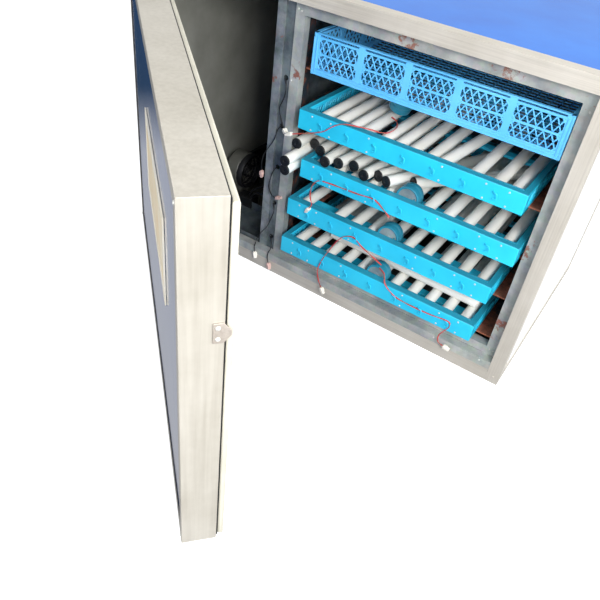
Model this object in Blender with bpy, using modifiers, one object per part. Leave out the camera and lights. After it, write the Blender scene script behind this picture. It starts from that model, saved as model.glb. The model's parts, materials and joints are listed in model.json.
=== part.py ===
"""Forced-air egg incubator: insulated cabinet, side blower bay, roller trays, egg basket and glazed door.

Metres, +Z up. The origin is the middle of the base panel's underside, and the door side faces -Y.
Heights are counted from that underside and depths from the cabinet's front plane.
"""

import math

import bmesh
import bpy
from mathutils import Matrix, Vector

# Cabinet
WIDTH = 0.880
DEPTH = 0.520
HEIGHT = 0.620
PANEL = 0.025
ANGLE_LEG = 0.026
ANGLE_THICK = 0.0012
GAP = 0.0003
SKIN = ANGLE_THICK + GAP
FRONT = -DEPTH / 2
BACK = DEPTH / 2
SIDE = WIDTH / 2
BASE_TOP = 0.028

# Square tube frame in the doorway
TUBE = 0.020
SILL_TOP = 0.0463
FRAME_LEFT = -0.134
FRAME_RIGHT = 0.412
FRAME_TOP = 0.590

# Trays: underside height and left edge of each, top tray first
TRAY_WIDTH = 0.459
TRAY_DEPTH = 0.380
TRAY_HEIGHT = 0.039
TRAY_RAIL = 0.018
TRAY_SIDE = 0.012
TRAY_FRONT = -0.003
TRAYS = {
    "tray_1": (0.3705, -0.0900),
    "tray_2": (0.2705, -0.0730),
    "tray_3": (0.1725, -0.0940),
    "tray_4": (0.0735, -0.1000),
}
ROLLER_RADIUS = 0.011
ROLLER_COUNT = 11
ROLLER_PITCH = 0.0404
ROLLER_FIRST = 0.0275
ROLLER_HEIGHT = 0.0245
AXLE_RADIUS = 0.0030
AXLE_LENGTH = 0.004
MOTOR_RADIUS = 0.024
MOTOR_LENGTH = 0.0285
MOTOR_HEIGHT = 0.036
BASKET_FLOOR = 0.4725
RUNNER_THICK = 0.003

# Door, hung on a continuous hinge down the left front edge and standing partly open
DOOR_THICK = 0.061
DOOR_LIP = 0.0084
DOOR_BOTTOM = 0.0225
DOOR_TOP = 0.6075
DOOR_LENGTH = 0.892
DOOR_REST_DEG = 41.8
HINGE_X = -SIDE - 0.0045
HINGE_Y = FRONT - 0.004
KNUCKLE = 0.0037

# Blower in the left bay, blowing towards the trays
BLOWER_Y = 0.202
BLOWER_Z = 0.0945
BLOWER_MOUTH = -0.340
BLOWER_BACK = -0.392
BLOWER_RADIUS = 0.045

MATERIALS = {
    "steel_white": ((0.93, 0.94, 0.95), 0.35, 0.0),
    "steel_blue": ((0.10, 0.32, 0.80), 0.20, 0.0),
    "aluminium": ((0.76, 0.75, 0.72), 0.35, 1.0),
    "galvanised": ((0.50, 0.53, 0.54), 0.45, 0.9),
    "runner_steel": ((0.30, 0.28, 0.26), 0.60, 0.7),
    "dark_trim": ((0.05, 0.05, 0.05), 0.60, 0.0),
    "blower_plastic": ((0.60, 0.61, 0.60), 0.45, 0.0),
    "motor_steel": ((0.45, 0.46, 0.47), 0.40, 0.9),
    "heater_steel": ((0.40, 0.40, 0.42), 0.35, 1.0),
    "tray_plastic": ((0.05, 0.58, 0.80), 0.40, 0.0),
    "basket_plastic": ((0.28, 0.65, 0.95), 0.40, 0.0),
    "roller_plastic": ((0.88, 0.87, 0.83), 0.35, 0.0),
    "motor_teal": ((0.08, 0.42, 0.52), 0.40, 0.0),
    "window_frame": ((0.90, 0.88, 0.80), 0.40, 0.0),
    "window_pane": ((0.85, 0.84, 0.62), 0.10, 0.0),
    "gasket": ((0.85, 0.83, 0.76), 0.60, 0.0),
    "lead_red": ((0.75, 0.12, 0.13), 0.45, 0.0),
}


def clear_scene():
    for obj in list(bpy.data.objects):
        bpy.data.objects.remove(obj, do_unlink=True)


def new_collection(name):
    group = bpy.data.collections.new(name)
    bpy.context.scene.collection.children.link(group)
    return group


def material(name):
    mat = bpy.data.materials.get(name)
    if mat:
        return mat
    colour, roughness, metallic = MATERIALS[name]
    mat = bpy.data.materials.new(name)
    mat.use_nodes = True
    shader = mat.node_tree.nodes["Principled BSDF"]
    shader.inputs["Base Color"].default_value = (*colour, 1.0)
    shader.inputs["Roughness"].default_value = roughness
    shader.inputs["Metallic"].default_value = metallic
    return mat


clear_scene()
incubator = new_collection("egg_incubator")
cutters = new_collection("cutters")


def place(name, data, slot):
    """Links new mesh or curve data as an object; without a slot it is a cutter."""
    obj = bpy.data.objects.new(name, data)
    if slot:
        data.materials.append(material(slot))
        incubator.objects.link(obj)
    else:
        obj.hide_render = True
        obj.display_type = "WIRE"
        cutters.objects.link(obj)
    return obj


def mesh_from(name, bm):
    mesh = bpy.data.meshes.new(name)
    bm.to_mesh(mesh)
    bm.free()
    return mesh


def box(name, low, high, slot=None):
    """Box between two corners given as (x, depth from the front plane, height)."""
    low = Vector((low[0], FRONT + low[1], low[2]))
    high = Vector((high[0], FRONT + high[1], high[2]))
    bm = bmesh.new()
    bmesh.ops.create_cube(bm, size=1.0)
    bmesh.ops.scale(bm, vec=high - low, verts=bm.verts)
    bmesh.ops.translate(bm, vec=(low + high) / 2, verts=bm.verts)
    return place(name, mesh_from(name, bm), slot)


def rods(name, runs, radius, sides, slot=None):
    """One mesh of closed round rods, each run a (start, end) pair in (x, depth, height)."""
    bm = bmesh.new()
    for start, end in runs:
        start = Vector((start[0], FRONT + start[1], start[2]))
        end = Vector((end[0], FRONT + end[1], end[2]))
        turn = (end - start).to_track_quat("Z", "Y").to_matrix().to_4x4()
        spot = Matrix.Translation((start + end) / 2) @ turn
        bmesh.ops.create_cone(
            bm,
            cap_ends=True,
            segments=sides,
            radius1=radius,
            radius2=radius,
            depth=(end - start).length,
            matrix=spot,
        )
    obj = place(name, mesh_from(name, bm), slot)
    if slot:
        smooth(obj)
    return obj


def rod(name, start, end, radius, sides=24, slot=None):
    return rods(name, [(start, end)], radius, sides, slot)


def smooth(obj):
    obj.data.shade_smooth()
    obj.data.set_sharp_from_angle(angle=math.radians(35))


def boolean(obj, tool, operation):
    step = obj.modifiers.new(f"{operation.lower()}_{tool.name}", "BOOLEAN")
    step.operation = operation
    step.solver = "EXACT"
    step.object = tool


def cut(obj, *tools):
    for tool in tools:
        boolean(obj, tool, "DIFFERENCE")
    return obj


def join(obj, *tools):
    for tool in tools:
        boolean(obj, tool, "UNION")
    return obj


def plate(name, loops, thick, spot, slot=None):
    """Flat plate from closed outlines in spot's x-y plane; its thickness is centred on that plane."""
    curve = bpy.data.curves.new(name, "CURVE")
    curve.dimensions = "2D"
    curve.fill_mode = "BOTH"
    curve.extrude = thick / 2
    for loop in loops:
        spline = curve.splines.new("POLY")
        spline.points.add(len(loop) - 1)
        for point, (u, v) in zip(spline.points, loop):
            point.co = (u, v, 0, 1)
        spline.use_cyclic_u = True
    obj = place(name, curve, slot)
    obj.matrix_world = spot
    return obj


def as_mesh(obj, slot=None):
    """Turns a curve into a welded mesh object that Booleans can work on."""
    bpy.context.view_layer.update()
    evaluated = obj.evaluated_get(bpy.context.evaluated_depsgraph_get())
    mesh = bpy.data.meshes.new_from_object(evaluated)
    bm = bmesh.new()
    bm.from_mesh(mesh)
    bmesh.ops.remove_doubles(bm, verts=bm.verts, dist=0.00001)
    bmesh.ops.recalc_face_normals(bm, faces=bm.faces)
    bm.to_mesh(mesh)
    bm.free()
    mesh.materials.clear()
    name = obj.name
    spot = obj.matrix_world.copy()
    bpy.data.objects.remove(obj, do_unlink=True)
    solid = place(name, mesh, slot)
    solid.matrix_world = spot
    return solid


def rectangle(left, right, low, high, radius=0.0, steps=5):
    """Outline of a rectangle, its corners rounded to radius."""
    if radius == 0:
        return [(left, low), (right, low), (right, high), (left, high)]
    points = []
    centres = [(right - radius, high - radius), (left + radius, high - radius)]
    centres += [(left + radius, low + radius), (right - radius, low + radius)]
    for corner, (u, v) in enumerate(centres):
        for step in range(steps + 1):
            turn = math.pi / 2 * (corner + step / steps)
            points.append((u + radius * math.cos(turn), v + radius * math.sin(turn)))
    return points


def facing_front(depth):
    """Plane at a depth behind the front plane, its x along +X and its y up."""
    turn = Matrix(((1, 0, 0), (0, 0, -1), (0, 1, 0))).to_4x4()
    return Matrix.Translation((0, FRONT + depth, 0)) @ turn


def facing_up(height):
    """Plane at a height, its x along +X and its y counted from the front plane."""
    return Matrix.Translation((0, FRONT, height))


def hang(objects, parent):
    """Parents objects drawn in the parent's own frame, so that they take its place and turn."""
    for obj in objects:
        obj.parent = parent


# Cabinet shell


def build_panels():
    inner = SIDE - PANEL
    low = BASE_TOP + GAP
    roof = HEIGHT - PANEL
    rear = DEPTH - PANEL
    edge = DEPTH - SKIN
    box("base_panel", (-SIDE + SKIN, SKIN, 0), (SIDE - SKIN, edge, BASE_TOP - SKIN), "steel_white")
    box("roof_panel", (-SIDE + SKIN, SKIN, roof), (SIDE - SKIN, edge, HEIGHT - SKIN), "steel_blue")
    wall_top = roof - GAP
    box("left_wall_panel", (-SIDE + SKIN, SKIN, low), (-inner, edge, wall_top), "steel_white")
    box("right_wall_panel", (inner, SKIN, low), (SIDE - SKIN, edge, wall_top), "steel_white")
    box("rear_wall_panel", (-inner + GAP, rear, low), (inner - GAP, edge, wall_top), "steel_white")


def angle_outline(sign_u, sign_v):
    """L section with its outer corner at the origin and its legs along sign_u and sign_v."""
    leg, thick = ANGLE_LEG, ANGLE_THICK
    shape = [(0, 0), (leg, 0), (leg, thick), (thick, thick), (thick, leg), (0, leg)]
    return [(sign_u * u, sign_v * v) for u, v in shape]


def build_front_edges():
    inner = SIDE - ANGLE_LEG - GAP
    full = HEIGHT - SKIN
    for side, sign in (("left", 1), ("right", -1)):
        spot = Matrix.Translation((-sign * SIDE, FRONT, full / 2))
        plate(f"front_stile_{side}", [angle_outline(sign, 1)], full, spot, "aluminium")
    along = Matrix(((0, 0, 1), (1, 0, 0), (0, 1, 0))).to_4x4()
    top = Matrix.Translation((0, FRONT, HEIGHT)) @ along
    bottom = Matrix.Translation((0, FRONT, BASE_TOP)) @ along
    plate("front_edge_top", [angle_outline(1, -1)], 2 * inner, top, "aluminium")
    sill_lip = angle_outline(1, -1)
    sill_lip[4:] = [(ANGLE_THICK, -BASE_TOP), (0, -BASE_TOP)]
    plate("front_edge_bottom", [sill_lip], 2 * inner, bottom, "aluminium")


def build_edge_frame():
    """The other edges' angles, riveted to each other at the corners: roof, rear uprights and base."""
    leg, thick = ANGLE_LEG, ANGLE_THICK
    start = leg + GAP
    pieces = []
    for sign in (-1, 1):
        outer = sign * SIDE
        low, high = sorted((outer, outer - sign * leg))
        skin_low, skin_high = sorted((outer, outer - sign * thick))
        pieces += [
            ((low, 0, HEIGHT - thick), (high, DEPTH, HEIGHT)),
            ((skin_low, start, HEIGHT - leg), (skin_high, DEPTH, HEIGHT)),
            ((skin_low, start, 0), (skin_high, DEPTH, BASE_TOP)),
            ((low, start, BASE_TOP - thick), (high, DEPTH, BASE_TOP)),
            ((skin_low, DEPTH - leg, 0), (skin_high, DEPTH, HEIGHT)),
            ((low, DEPTH - thick, 0), (high, DEPTH, HEIGHT)),
        ]
    pieces += [
        ((-SIDE, DEPTH - leg, HEIGHT - thick), (SIDE, DEPTH, HEIGHT)),
        ((-SIDE, DEPTH - thick, HEIGHT - leg), (SIDE, DEPTH, HEIGHT)),
        ((-SIDE, DEPTH - thick, 0), (SIDE, DEPTH, BASE_TOP)),
    ]
    frame = box("edge_frame", *pieces[0], "aluminium")
    join(frame, *[box(f"edge_bar_{n}", *piece) for n, piece in enumerate(pieces[1:])])


# Doorway and tray supports


def build_doorway():
    inner = SIDE - ANGLE_LEG - GAP
    box("sill_tube", (-inner, GAP, BASE_TOP + GAP), (inner, TUBE, SILL_TOP), "galvanised")
    box("left_wall_plinth", (-0.4147, 0.030, BASE_TOP + GAP), (-0.4050, 0.480, 0.092), "dark_trim")
    foot = BASE_TOP + 2 * GAP
    left, right = FRAME_LEFT + TUBE, FRAME_RIGHT - TUBE
    lower, sill = 0.065, SILL_TOP + GAP
    outer = [(FRAME_LEFT, foot), (left, foot), (left, sill), (right, sill), (right, foot)]
    outer += [(FRAME_RIGHT, foot), (FRAME_RIGHT, FRAME_TOP), (FRAME_LEFT, FRAME_TOP)]
    opening = rectangle(left, right, lower, FRAME_TOP - TUBE)
    plate("tray_frame", [outer, opening], TUBE - GAP, facing_front(1.5 * TUBE), "galvanised")
    box("divider_post", (-0.1740, TUBE + GAP, foot), (-0.1560, 2 * TUBE, FRAME_TOP), "galvanised")
    build_divider_sheet(foot)


def build_divider_sheet(foot):
    """Bent sheet beside the post: a front strip with wiring holes, and the wall of the blower bay."""
    sheet, front = 0.0015, 0.0240
    left, right = -0.1557, FRAME_LEFT - GAP
    shape = [(left, front), (right, front), (right, front + sheet), (left + sheet, front + sheet)]
    shape += [(left + sheet, 0.300), (left, 0.300)]
    middle = (foot + FRAME_TOP) / 2
    flat = plate("divider_sheet", [shape], FRAME_TOP - foot, facing_up(middle))
    wall = as_mesh(flat, "galvanised")
    holes = []
    for height in (0.446, 0.346, 0.253, 0.165, 0.076):
        holes.append(((-0.1450, 0.015, height), (-0.1450, 0.035, height)))
    cut(wall, rods("wiring_holes", holes, 0.0055, 12))


def runner_heights():
    floors = [BASKET_FLOOR] + [floor for floor, _ in TRAYS.values()]
    return [floor - GAP for floor in floors]


def build_runners():
    """Each side: five angle runners with an upright at the front and one at the rear."""
    sides = {
        "left_runners": (-0.1165, -0.0640, -0.1165, -0.1135, -0.1335, -0.1140),
        "right_runners": (0.3480, 0.3980, 0.3950, 0.3980, 0.3960, 0.4140),
    }
    for name, (shelf_a, shelf_b, web_a, web_b, post_a, post_b) in sides.items():
        low, high = BASE_TOP + 2 * GAP, FRAME_TOP - 0.0005
        rack = box(name, (post_a, 0.0403, low), (post_b, 0.0600, high), "runner_steel")
        bars = [box(f"{name}_rear", (post_a, 0.4300, low), (post_b, 0.4500, high))]
        for number, top in enumerate(runner_heights()):
            under = top - RUNNER_THICK
            bars.append(box(f"{name}_shelf_{number}", (shelf_a, 0.0412, under), (shelf_b, 0.445, top)))
            bars.append(box(f"{name}_web_{number}", (web_a, 0.0412, under), (web_b, 0.445, top + 0.024)))
        join(rack, *bars)


# Left bay


def build_blower():
    middle = (BLOWER_Y, BLOWER_Z)
    back, mouth = BLOWER_BACK, BLOWER_MOUTH
    shell = rod("blower_housing", (back, *middle), (mouth, *middle), BLOWER_RADIUS, 28, "blower_plastic")
    foot_low = (back + 0.006, BLOWER_Y - 0.018, BASE_TOP + GAP)
    foot_high = (mouth - 0.006, BLOWER_Y + 0.018, BLOWER_Z - 0.040)
    join(shell, box("blower_foot", foot_low, foot_high))
    duct = rod("blower_duct", (back + 0.002, *middle), (mouth + 0.01, *middle), 0.0380, 28)
    spindle = rod("blower_bore", (back - 0.01, *middle), (back + 0.01, *middle), 0.0050, 12)
    cut(shell, duct, spindle)
    can = rod("blower_motor", (-0.4045, *middle), (back - GAP, *middle), 0.020, 20, "motor_steel")
    join(can, rod("blower_shaft", (back - 0.003, *middle), (back + 0.020, *middle), 0.0025, 8))
    start, end = back + 0.0065, mouth - 0.006
    wheel = rod("blower_impeller", (start, *middle), (end, *middle), 0.0120, 16, "dark_trim")
    disc = rod("impeller_disc", (start, *middle), (start + 0.002, *middle), 0.0350, 24)
    join(wheel, disc)
    for number in range(7):
        turn = math.tau * number / 7
        blade = box(f"impeller_blade_{number}", (start + 0.001, 0.009, -0.001), (end, 0.034, 0.001))
        centre = Vector((0, FRONT, 0))
        lean = Matrix.Translation(centre) @ Matrix.Rotation(0.35, 4, "X") @ Matrix.Translation(-centre)
        hub = Matrix.Translation((0, BLOWER_Y, BLOWER_Z)) @ Matrix.Translation(centre)
        spin = Matrix.Rotation(turn, 4, "X") @ Matrix.Translation((0, 0, 0.006))
        blade.matrix_world = hub @ spin @ Matrix.Translation(-centre) @ lean
        join(wheel, blade)
    cut(wheel, rod("impeller_bore", (start - 0.01, *middle), (back + 0.0203, *middle), 0.0028, 8))


def build_bay_fittings():
    """Heater loop, controller box, water pan and temperature probe."""
    turn_radius, half = 0.045, 0.055
    points = []
    for step in range(13):
        turn = math.pi * step / 12
        points.append((-0.290 + turn_radius * math.cos(turn), 0.230 + turn_radius * math.sin(turn)))
    points = [(-0.290 + turn_radius, 0.230 - half)] + points + [(-0.290 - turn_radius, 0.230 - half)]
    curve = bpy.data.curves.new("heater_element", "CURVE")
    curve.dimensions = "3D"
    curve.bevel_depth = 0.004
    curve.bevel_resolution = 2
    curve.use_fill_caps = True
    spline = curve.splines.new("POLY")
    spline.points.add(len(points) - 1)
    for point, (x, z) in zip(spline.points, points):
        point.co = (x, FRONT + 0.360, z, 1)
    place("heater_element", curve, "heater_steel")
    box("control_box", (-0.340, 0.440, 0.330), (-0.200, 0.4947, 0.510), "dark_trim")
    pan_low, pan_high = BASE_TOP + 2 * GAP, 0.048
    pan = box("water_pan", (-0.400, 0.030, pan_low), (-0.182, 0.150, pan_high), "galvanised")
    cut(pan, box("pan_hollow", (-0.398, 0.032, pan_low + 0.0015), (-0.184, 0.148, 0.060)))
    probe_low, probe_high = (-0.146, 0.150, 0.420), (-0.146, 0.150, 0.470)
    probe = rod("temperature_probe", probe_low, probe_high, 0.003, 12, "motor_steel")
    join(probe, box("probe_clip", (-0.1539, 0.146, 0.440), (-0.1450, 0.154, 0.450)))


# Trays and what lies on them


def roller_places(left):
    return [left + ROLLER_FIRST + number * ROLLER_PITCH for number in range(ROLLER_COUNT)]


def build_tray(name, floor, left):
    right, rear = left + TRAY_WIDTH, TRAY_FRONT + TRAY_DEPTH
    outer = rectangle(left, right, TRAY_FRONT, rear, 0.004, 2)
    inner_left, inner_right = left + TRAY_SIDE, right - TRAY_SIDE
    inner_front, inner_rear = TRAY_FRONT + TRAY_RAIL, rear - TRAY_RAIL
    inner = rectangle(inner_left, inner_right, inner_front, inner_rear, 0.004, 3)
    ring = plate(f"{name}_frame", [outer, inner], TRAY_HEIGHT, facing_up(floor + TRAY_HEIGHT / 2))
    frame = as_mesh(ring, "tray_plastic")
    for number, start in enumerate((0.063, 0.190, 0.300)):
        low = (left + 0.005, start, floor)
        high = (right - 0.005, start + 0.020, floor + 0.006)
        join(frame, box(f"{name}_slat_{number}", low, high))
    if name == "tray_4":
        sockets = []
        for x in roller_places(left):
            height = floor + ROLLER_HEIGHT
            sockets.append(((x, inner_front - 0.0045, height), (x, inner_front + 0.01, height)))
            sockets.append(((x, inner_rear - 0.01, height), (x, inner_rear + 0.0045, height)))
        cut(frame, rods(f"{name}_sockets", sockets, AXLE_RADIUS + 0.0006, 8))
    return frame


def build_motor(name, floor, left):
    """Round gear motor behind the front rail, in line with the middle roller."""
    x = roller_places(left)[ROLLER_COUNT // 2]
    start = TRAY_FRONT + TRAY_RAIL + GAP
    if name == "tray_1":
        low, high = (0.0565, 0.1290, 0.4195), (0.0650, 0.1250, 0.4440)
        return rod(f"{name}_motor", low, high, MOTOR_RADIUS - 0.002, 28, "motor_teal")
    height = floor + MOTOR_HEIGHT
    end = start + MOTOR_LENGTH
    can = rod(f"{name}_motor", (x, start, height), (x, end, height), MOTOR_RADIUS, 28, "motor_teal")
    shaft_start = (x, end - 0.002, floor + ROLLER_HEIGHT)
    shaft_end = (x, end + 0.004, floor + ROLLER_HEIGHT)
    return join(can, rod(f"{name}_motor_shaft", shaft_start, shaft_end, 0.0025, 8))


def turned_roller(name, front, rear, front_axle):
    """Roller turned about its own axis along +Y, its origin at the front end of that axis."""
    length = rear - front
    profile = [(AXLE_RADIUS, length + AXLE_LENGTH), (AXLE_RADIUS, length), (ROLLER_RADIUS, length)]
    profile += [(ROLLER_RADIUS, 0.0)]
    if front_axle:
        profile += [(AXLE_RADIUS, 0.0), (AXLE_RADIUS, -AXLE_LENGTH)]
    profile = [(0.0, profile[0][1])] + profile + [(0.0, profile[-1][1])]
    bm = bmesh.new()
    spots = [bm.verts.new((radius, along, 0)) for radius, along in profile]
    for first, second in zip(spots, spots[1:]):
        bm.edges.new((first, second))
    obj = place(name, mesh_from(name, bm), "roller_plastic")
    turn = obj.modifiers.new("turn", "SCREW")
    turn.axis = "Y"
    turn.steps = 12
    turn.render_steps = 12
    turn.use_merge_vertices = True
    turn.merge_threshold = 0.00005
    return obj


def build_driven_rollers(name, floor, left):
    front = TRAY_FRONT + TRAY_RAIL + GAP
    rear = TRAY_FRONT + TRAY_DEPTH - TRAY_RAIL - GAP
    behind_motor = front + MOTOR_LENGTH + 0.0046
    for number, x in enumerate(roller_places(left)):
        middle = number == ROLLER_COUNT // 2
        start = behind_motor if middle else front
        obj = turned_roller(f"{name}_roller_{number + 1}", start, rear, not middle)
        obj.location = (x, FRONT + start, floor + ROLLER_HEIGHT)


def lying(front_x, front_y, height, yaw_deg, length):
    """Start and end of a loose roller; yaw swings its rear end towards +X."""
    yaw = math.radians(yaw_deg)
    end = (front_x + length * math.sin(yaw), front_y + length * math.cos(yaw), height)
    return (front_x, front_y, height), end


def build_roller_bank(name, runs, ties):
    """Rollers of one tray as one solid, held together by thin ties under them."""
    first, *others = runs
    bank = rods(name, [first], ROLLER_RADIUS, 12, "roller_plastic")
    tools = [rods(f"{name}_{n}", [run], ROLLER_RADIUS, 12) for n, run in enumerate(others)]
    tie_bars = [box(f"{name}_tie_{n}", low, high) for n, (low, high) in enumerate(ties)]
    return join(bank, *tie_bars, *tools)


def build_rollers():
    front = TRAY_FRONT + TRAY_RAIL + GAP
    rear = TRAY_FRONT + TRAY_DEPTH - TRAY_RAIL - GAP
    for name in ("tray_2", "tray_3"):
        floor, left = TRAYS[name]
        height = floor + ROLLER_HEIGHT
        runs = []
        for number, x in enumerate(roller_places(left)):
            start = front + MOTOR_LENGTH + 0.0046 if number == ROLLER_COUNT // 2 else front
            if name == "tray_3" and number == 1:
                continue
            runs.append(((x, start, height), (x, rear, height)))
        ties = [((runs[0][0][0], 0.240, height - 0.0125), (runs[-1][0][0], 0.244, height - 0.0085))]
        build_roller_bank(f"{name}_rollers", runs, ties)
    build_tray_1_rollers(front, rear)
    build_driven_rollers("tray_4", *TRAYS["tray_4"])


def build_tray_1_rollers(front, rear):
    """The top tray's rollers are out of their places: some side by side, two lying across."""
    floor, _ = TRAYS["tray_1"]
    height = floor + ROLLER_HEIGHT
    long = rear - front
    straight = (-0.050, -0.018, 0.014, 0.041, 0.083, 0.113, 0.143, 0.179, 0.264, 0.307, 0.341)
    runs = [lying(x, front, height, 0, long) for x in straight]
    runs.insert(8, lying(0.202, front + 0.002, height, 6.0, long - 0.006))
    ties = [((straight[0], 0.240, height - 0.0125), (straight[-1], 0.244, height - 0.0085))]
    build_roller_bank("tray_1_rollers", runs, ties)


def build_spare_rollers():
    """Spare rollers piled on the second tray, and two more in the slot beside it."""
    layer = TRAYS["tray_2"][0] + TRAY_HEIGHT + ROLLER_RADIUS + GAP
    length = 0.300
    beside = -0.0965
    runs = [
        lying(-0.0220, 0.000, layer, -1.0, length),
        lying(0.0010, 0.014, layer, 5.9, length),
        lying(0.0290, 0.027, layer, 6.1, length),
        lying(0.0620, 0.008, layer, 6.0, length),
        lying(0.0840, 0.027, layer, 17.0, length),
        lying(0.1060, 0.018, layer, 23.8, length),
        lying(0.1475, 0.053, layer, 36.5, length),
        lying(-0.0540, 0.033, layer, 0.0, length),
        lying(-0.0780, 0.050, layer, 0.0, length),
        lying(-0.1015, 0.018, layer + 0.0037, 0.0, length),
        lying(beside, -0.028, layer - 0.0163, 0.0, length),
        lying(beside, -0.026, layer - 0.0370, 0.0, length),
    ]
    tie_low, tie_high = (beside, 0.238, layer + 0.0085), (0.288, 0.242, layer + 0.0125)
    build_roller_bank("spare_rollers", runs, [(tie_low, tie_high)])


def build_long_tube():
    floor, _ = TRAYS["tray_4"]
    height = floor + ROLLER_HEIGHT + 2 * ROLLER_RADIUS + GAP
    low, high = (-0.013, 0.074, height), (0.339, 0.062, height)
    tube = rod("long_tube", low, high, ROLLER_RADIUS, 16, "roller_plastic")
    cut(tube, rod("long_tube_bore", (-0.020, 0.0742, height), (0.346, 0.0618, height), 0.0090, 16))


def build_basket():
    """Open egg basket: a ring of walls with a floor."""
    left, right, front, rear = -0.090, 0.390, 0.020, 0.400
    floor, top, wall = BASKET_FLOOR, 0.549, 0.0035
    shell = box("egg_basket", (left, front, floor), (right, rear, top), "basket_plastic")
    low = (left + wall, front + wall, floor + wall)
    cut(shell, box("basket_hollow", low, (right - wall, rear - wall, top + 0.01)))


# Door, drawn shut in the frame of its hinge axis: x along the door, y into the cabinet


def door_ring(name, low_x, high_x, low_z, high_z, bar, near, far, slot, corner=0.0):
    """Rectangular frame of a bar width, from depth near to depth far."""
    outer = rectangle(low_x, high_x, low_z, high_z, corner)
    inner = rectangle(low_x + bar, high_x - bar, low_z + bar, high_z - bar)
    turn = Matrix(((1, 0, 0), (0, 0, -1), (0, 1, 0))).to_4x4()
    spot = Matrix.Translation((0, (near + far) / 2, 0)) @ turn
    return plate(name, [outer, inner], far - near, spot, slot)


def door_box(name, low, high, slot=None):
    """Box in the hinge frame, whose origin lies where the front plane's helpers count from."""
    shift = -FRONT
    return box(name, (low[0], low[1] + shift, low[2]), (high[0], high[1] + shift, high[2]), slot)


def build_door():
    axis = bpy.data.objects.new("door_hinge_axis", None)
    incubator.objects.link(axis)
    axis.location = (HINGE_X, HINGE_Y, 0)
    axis.rotation_euler = (0, 0, -math.radians(DOOR_REST_DEG))
    inner = 0.0035
    outer = inner - DOOR_THICK
    split = inner - DOOR_LIP
    near, far = 0.0045, 0.0045 + DOOR_LENGTH
    low, high = DOOR_BOTTOM, DOOR_TOP
    lip = (near + 0.001, far - 0.001, low + 0.008, high - 0.008)
    pieces = [
        door_ring("door_frame", near, far, low, high, 0.012, outer, split - GAP, "aluminium"),
        door_ring("door_gasket", *lip, 0.022, split, inner, "gasket", 0.006),
    ]
    panel_low = (near + 0.012 + GAP, outer + 0.0015, low + 0.012 + GAP)
    panel_high = (far - 0.012 - GAP, outer + 0.0265, high - 0.012 - GAP)
    panel = door_box("door_panel", panel_low, panel_high, "steel_blue")
    window = (0.405, 0.725, 0.335, 0.475)
    hole_low = (window[0] + 0.016, outer - 0.01, window[2] + 0.016)
    hole_high = (window[1] - 0.016, outer + 0.05, window[3] - 0.016)
    cut(panel, door_box("window_hole", hole_low, hole_high))
    frame_near = outer - 0.0030
    frame_far = outer + 0.0015 - GAP
    surround = door_ring("window_frame", *window, 0.020, frame_near, frame_far, "window_frame", 0.006)
    pieces += [panel, surround]
    pane_low = (hole_low[0] + GAP, outer + 0.0015, hole_low[2] + GAP)
    pane_high = (hole_high[0] - GAP, outer + 0.0055, hole_high[2] - GAP)
    pieces.append(door_box("window_pane", pane_low, pane_high, "window_pane"))
    pieces.append(build_latch_catch(far))
    pieces.append(build_hinge_leaves())
    hang(pieces, axis)
    for obj in cutters.objects:
        if obj.name.startswith(("window_hole", "catch_", "door_knuckle", "door_leaf", "pin_bore")):
            obj.parent = axis


def build_latch_catch(end):
    """Strike plate on the door's free edge, pointed towards the cabinet, on two rivets."""
    shape = [(-0.0205, 0.423), (-0.0075, 0.423), (0.0005, 0.434)]
    shape += [(0.0005, 0.441), (-0.0075, 0.452), (-0.0205, 0.452)]
    turn = Matrix(((0, 0, 1), (1, 0, 0), (0, 1, 0))).to_4x4()
    spot = Matrix.Translation((end + GAP + 0.0008, 0, 0)) @ turn
    plate_obj = as_mesh(plate("latch_catch", [shape], 0.0016, spot), "motor_steel")
    face = end + GAP + 0.0012
    rivets = []
    for height in (0.4295, 0.4455):
        spot_y = -0.0150 - FRONT
        rivets.append(((face, spot_y, height), (face + 0.0018, spot_y, height)))
    for number, run in enumerate(rivets):
        join(plate_obj, rods(f"catch_rivet_{number}", [run], 0.0025, 10))
    return plate_obj


def build_hinge_leaves():
    """Continuous hinge in five knuckles: three with the pin on the cabinet's leaf, two on the door's."""
    low, high, clear = 0.040, 0.590, 0.0005
    step = (high - low) / 5
    spans = [(low + n * step + clear, low + (n + 1) * step - clear) for n in range(5)]
    plate_near, plate_far = 0.0026, 0.0041
    leaf = door_box("hinge_leaf_door", (plate_near, -0.028, low), (plate_far, -0.0046, high), "aluminium")
    fixed = door_box("hinge_leaf_cabinet", (plate_near, 0.0046, low), (plate_far, 0.028, high), "aluminium")
    fixed.location = (HINGE_X, HINGE_Y, 0)
    for number, (start, end) in enumerate(spans):
        on_door = number % 2 == 1
        reach = (-0.0060, 0.0) if on_door else (0.0, 0.0060)
        kind = "door" if on_door else "cabinet"
        knuckle = rods(f"{kind}_knuckle_{number}", [((0, -FRONT, start), (0, -FRONT, end))], KNUCKLE, 16)
        web = door_box(f"{kind}_leaf_web_{number}", (plate_near, reach[0], start), (plate_far, reach[1], end))
        owner = leaf if on_door else fixed
        if not on_door:
            knuckle.location = fixed.location
            web.location = fixed.location
        join(owner, web, knuckle)
    pin = rods("hinge_pin", [((0, -FRONT, low + 0.001), (0, -FRONT, high - 0.001))], 0.0018, 12)
    pin.location = fixed.location
    join(fixed, pin)
    bores = [((0, -FRONT, low - 0.01), (0, -FRONT, high + 0.01))]
    cut(leaf, rods("pin_bore", bores, 0.0023, 12))
    return leaf


# Motor leads of the trays


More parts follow.
